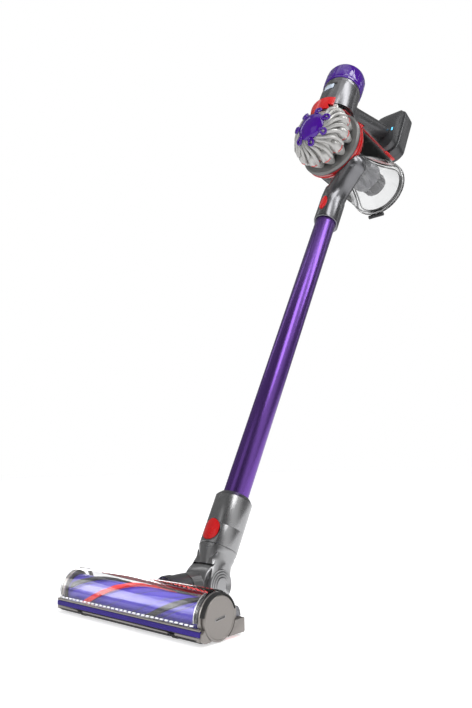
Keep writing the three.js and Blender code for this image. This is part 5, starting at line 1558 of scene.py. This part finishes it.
@dataclass
class Studio:
    """Camera, lights, floor and backdrop."""

    layout: Layout
    position: tuple[float, float, float] = (595.7, -500.4, 185.7)
    forward: tuple[float, float, float] = (-0.6549, 0.7400, 0.1533)
    right: tuple[float, float, float] = (0.7468, 0.6648, -0.0192)
    lens: float = 32.95
    floor_glow: float = 0.6
    matt_light: tuple[float, float, float] = (0.5, 0.5, 0.51)

    def build(self) -> None:
        """Sets up the studio."""
        self.make_camera()
        self.make_floor()
        self.make_lights()
        self.make_world()

    def make_camera(self) -> None:
        """Camera at the eye point of the wanted view."""
        data = bpy.data.cameras.new("camera")
        data.lens = self.lens
        data.sensor_fit = "VERTICAL"
        data.sensor_height = 36.0
        data.clip_start = 0.01
        camera = bpy.data.objects.new("camera", data)
        bpy.context.collection.objects.link(camera)
        ahead = Vector(self.forward).normalized()
        side = (Vector(self.right) - ahead * Vector(self.right).dot(ahead)).normalized()
        up = side.cross(ahead)
        turn = Matrix((side, up, -ahead)).transposed().to_4x4()
        eye = self.layout.head.matrix @ Vector(self.position)
        camera.matrix_world = Matrix.Translation(eye) @ turn
        bpy.context.scene.camera = camera

    def make_floor(self) -> None:
        """Plain pale floor."""
        Bench.clear()
        bpy.ops.mesh.primitive_circle_add(vertices=96, radius=6.0, fill_type="NGON", location=(0, 0, -0.0006))
        floor = bpy.context.object
        floor.name = "floor"
        finish = Finish("pale_floor", (0.93, 0.93, 0.93), 0.7, 0.0, 0.01, 0.02, 200.0, 0.0)
        pale = finish.material()
        group = next(node for node in pale.node_tree.nodes if node.type == "GROUP")
        shader = pale.node_tree.nodes["Principled BSDF"]
        pale.node_tree.links.new(group.outputs["Colour"], shader.inputs["Emission Color"])
        shader.inputs["Emission Strength"].default_value = self.floor_glow
        floor.data.materials.append(pale)

    def make_lights(self) -> None:
        """Soft boxes, each set by the direction it shines from.

        Those named for the window shine on its panes only.
        """
        middle = Vector((0, 0, 0.45))
        # Besides the window's panes, the window lights reach the pale strip of painted highlight behind the
        # comb teeth.
        panes = bpy.data.collections.new("panes")
        for pane in ("window_shell", "window_end", "window_edge_rail", "painted_highlight_strip"):
            panes.objects.link(bpy.data.objects[pane])
        for name, azimuth, rise, away, size, power in (
            ("key", -28, 50, 2.0, (0.6, 1.3), 11.0),
            ("housing_strip", 26, 50, 1.9, (0.42, 1.2), 9.0),
            ("right_edge", 66, 16, 2.2, (0.22, 1.7), 1.5),
            ("left_edge", -172, 48, 2.2, (0.25, 1.4), 2.0),
            ("front_fill", -95, 22, 2.4, (1.2, 1.2), 2.5),
            ("window_band", -144, 20, 1.7, (1.7, 0.7), 15.0),
            ("window_edge", 141, 10, 1.7, (1.7, 0.3), 8.0),
            ("top", 0, 89, 2.4, (1.4, 1.4), 3.0),
        ):
            data = bpy.data.lights.new(name, "AREA")
            data.shape = "RECTANGLE"
            data.size, data.size_y = size
            data.energy = power
            lamp = bpy.data.objects.new(name, data)
            bpy.context.collection.objects.link(lamp)
            target = self.layout.head.matrix @ Vector((0, 0, 30)) if "window" in name else middle
            bearing, lift = radians(azimuth), radians(rise)
            toward = Vector((cos(bearing) * cos(lift), sin(bearing) * cos(lift), sin(lift)))
            lamp.rotation_euler = (-toward).to_track_quat("-Z", "Y").to_euler()
            lamp.location = target + toward * away
            if "window" in name:
                lamp.light_linking.receiver_collection = panes

    def make_world(self) -> None:
        """White backdrop, softer light for matt surfaces and dark bands for gloss."""
        world = bpy.data.worlds.new("studio")
        bpy.context.scene.world = world
        world.use_nodes = True
        bpy.context.scene.view_settings.view_transform = "Standard"
        nodes, links = world.node_tree.nodes, world.node_tree.links
        nodes.clear()
        place, wave = nodes.new("ShaderNodeTexCoord"), nodes.new("ShaderNodeTexGradient")
        wave.gradient_type = "RADIAL"
        ramp = nodes.new("ShaderNodeValToRGB")
        stops = (
            (0.0, 0.22), (0.12, 0.22), (0.24, 0.12), (0.36, 0.05), (0.41, 0.3), (0.45, 0.95),
            (0.52, 0.8), (0.57, 0.18), (0.66, 0.1), (0.78, 0.25), (1.0, 0.22)
        )
        while len(ramp.color_ramp.elements) < len(stops):
            ramp.color_ramp.elements.new(0.5)
        for element, (at, tone) in zip(ramp.color_ramp.elements, stops):
            element.position = at
            element.color = (tone, tone, tone, 1)
        links.new(place.outputs["Generated"], wave.inputs["Vector"])
        links.new(wave.outputs["Fac"], ramp.inputs["Fac"])
        path, sink = nodes.new("ShaderNodeLightPath"), nodes.new("ShaderNodeOutputWorld")
        white, soft, banded = (nodes.new("ShaderNodeBackground") for _ in range(3))
        white.inputs["Color"].default_value = (1, 1, 1, 1)
        soft.inputs["Color"].default_value = (*self.matt_light, 1)
        links.new(ramp.outputs["Color"], banded.inputs["Color"])
        seen = nodes.new("ShaderNodeMath")
        seen.operation = "MAXIMUM"
        links.new(path.outputs["Is Camera Ray"], seen.inputs[0])
        links.new(path.outputs["Is Transmission Ray"], seen.inputs[1])
        gloss, view = nodes.new("ShaderNodeMixShader"), nodes.new("ShaderNodeMixShader")
        links.new(path.outputs["Is Glossy Ray"], gloss.inputs["Fac"])
        links.new(soft.outputs["Background"], gloss.inputs[1])
        links.new(banded.outputs["Background"], gloss.inputs[2])
        links.new(seen.outputs["Value"], view.inputs["Fac"])
        links.new(gloss.outputs["Shader"], view.inputs[1])
        links.new(white.outputs["Background"], view.inputs[2])
        links.new(view.outputs["Shader"], sink.inputs["Surface"])


# -------------------------------------------------------------- remaining


def dress_frame(frame: dict) -> None:
    """Gives every CAD node that stays its finish."""
    looks = {
        "sole_plate": GRAPHITE,
        "brush_motor": STEEL,
        "pivot_pin": STEEL,
        "wand_wiring": BLACK,
        "motor": STEEL,
        "rotor": COPPER,
        "control_board": BOARD,
        "filter_pleats": PAPER,
        "trigger_switch": BLACK,
        "battery_cells": WRAP,
        "battery_screw_1": STEEL,
        "battery_screw_2": STEEL,
        "bin_hinge_pin": STEEL,
        "pre_filter": PAPER,
    }
    for name, node in frame["nodes"].items():
        finish = looks.get(name, NICKEL)
        node.data.materials.clear()
        node.data.materials.append(finish.material())


def main() -> None:
    """Builds the scene in order."""
    logging.basicConfig(level=logging.INFO, format="%(message)s")
    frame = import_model()
    dress_frame(frame)
    layout = Layout()
    for section in (
        FloorHead(layout), NeckAndWand(layout), HandUnit(layout), DustBin(layout), CyclonePack(layout),
        Studio(layout)
    ):
        section.build()
        LOG.info("finished %s", type(section).__name__)


if __name__ == "__main__":
    main()
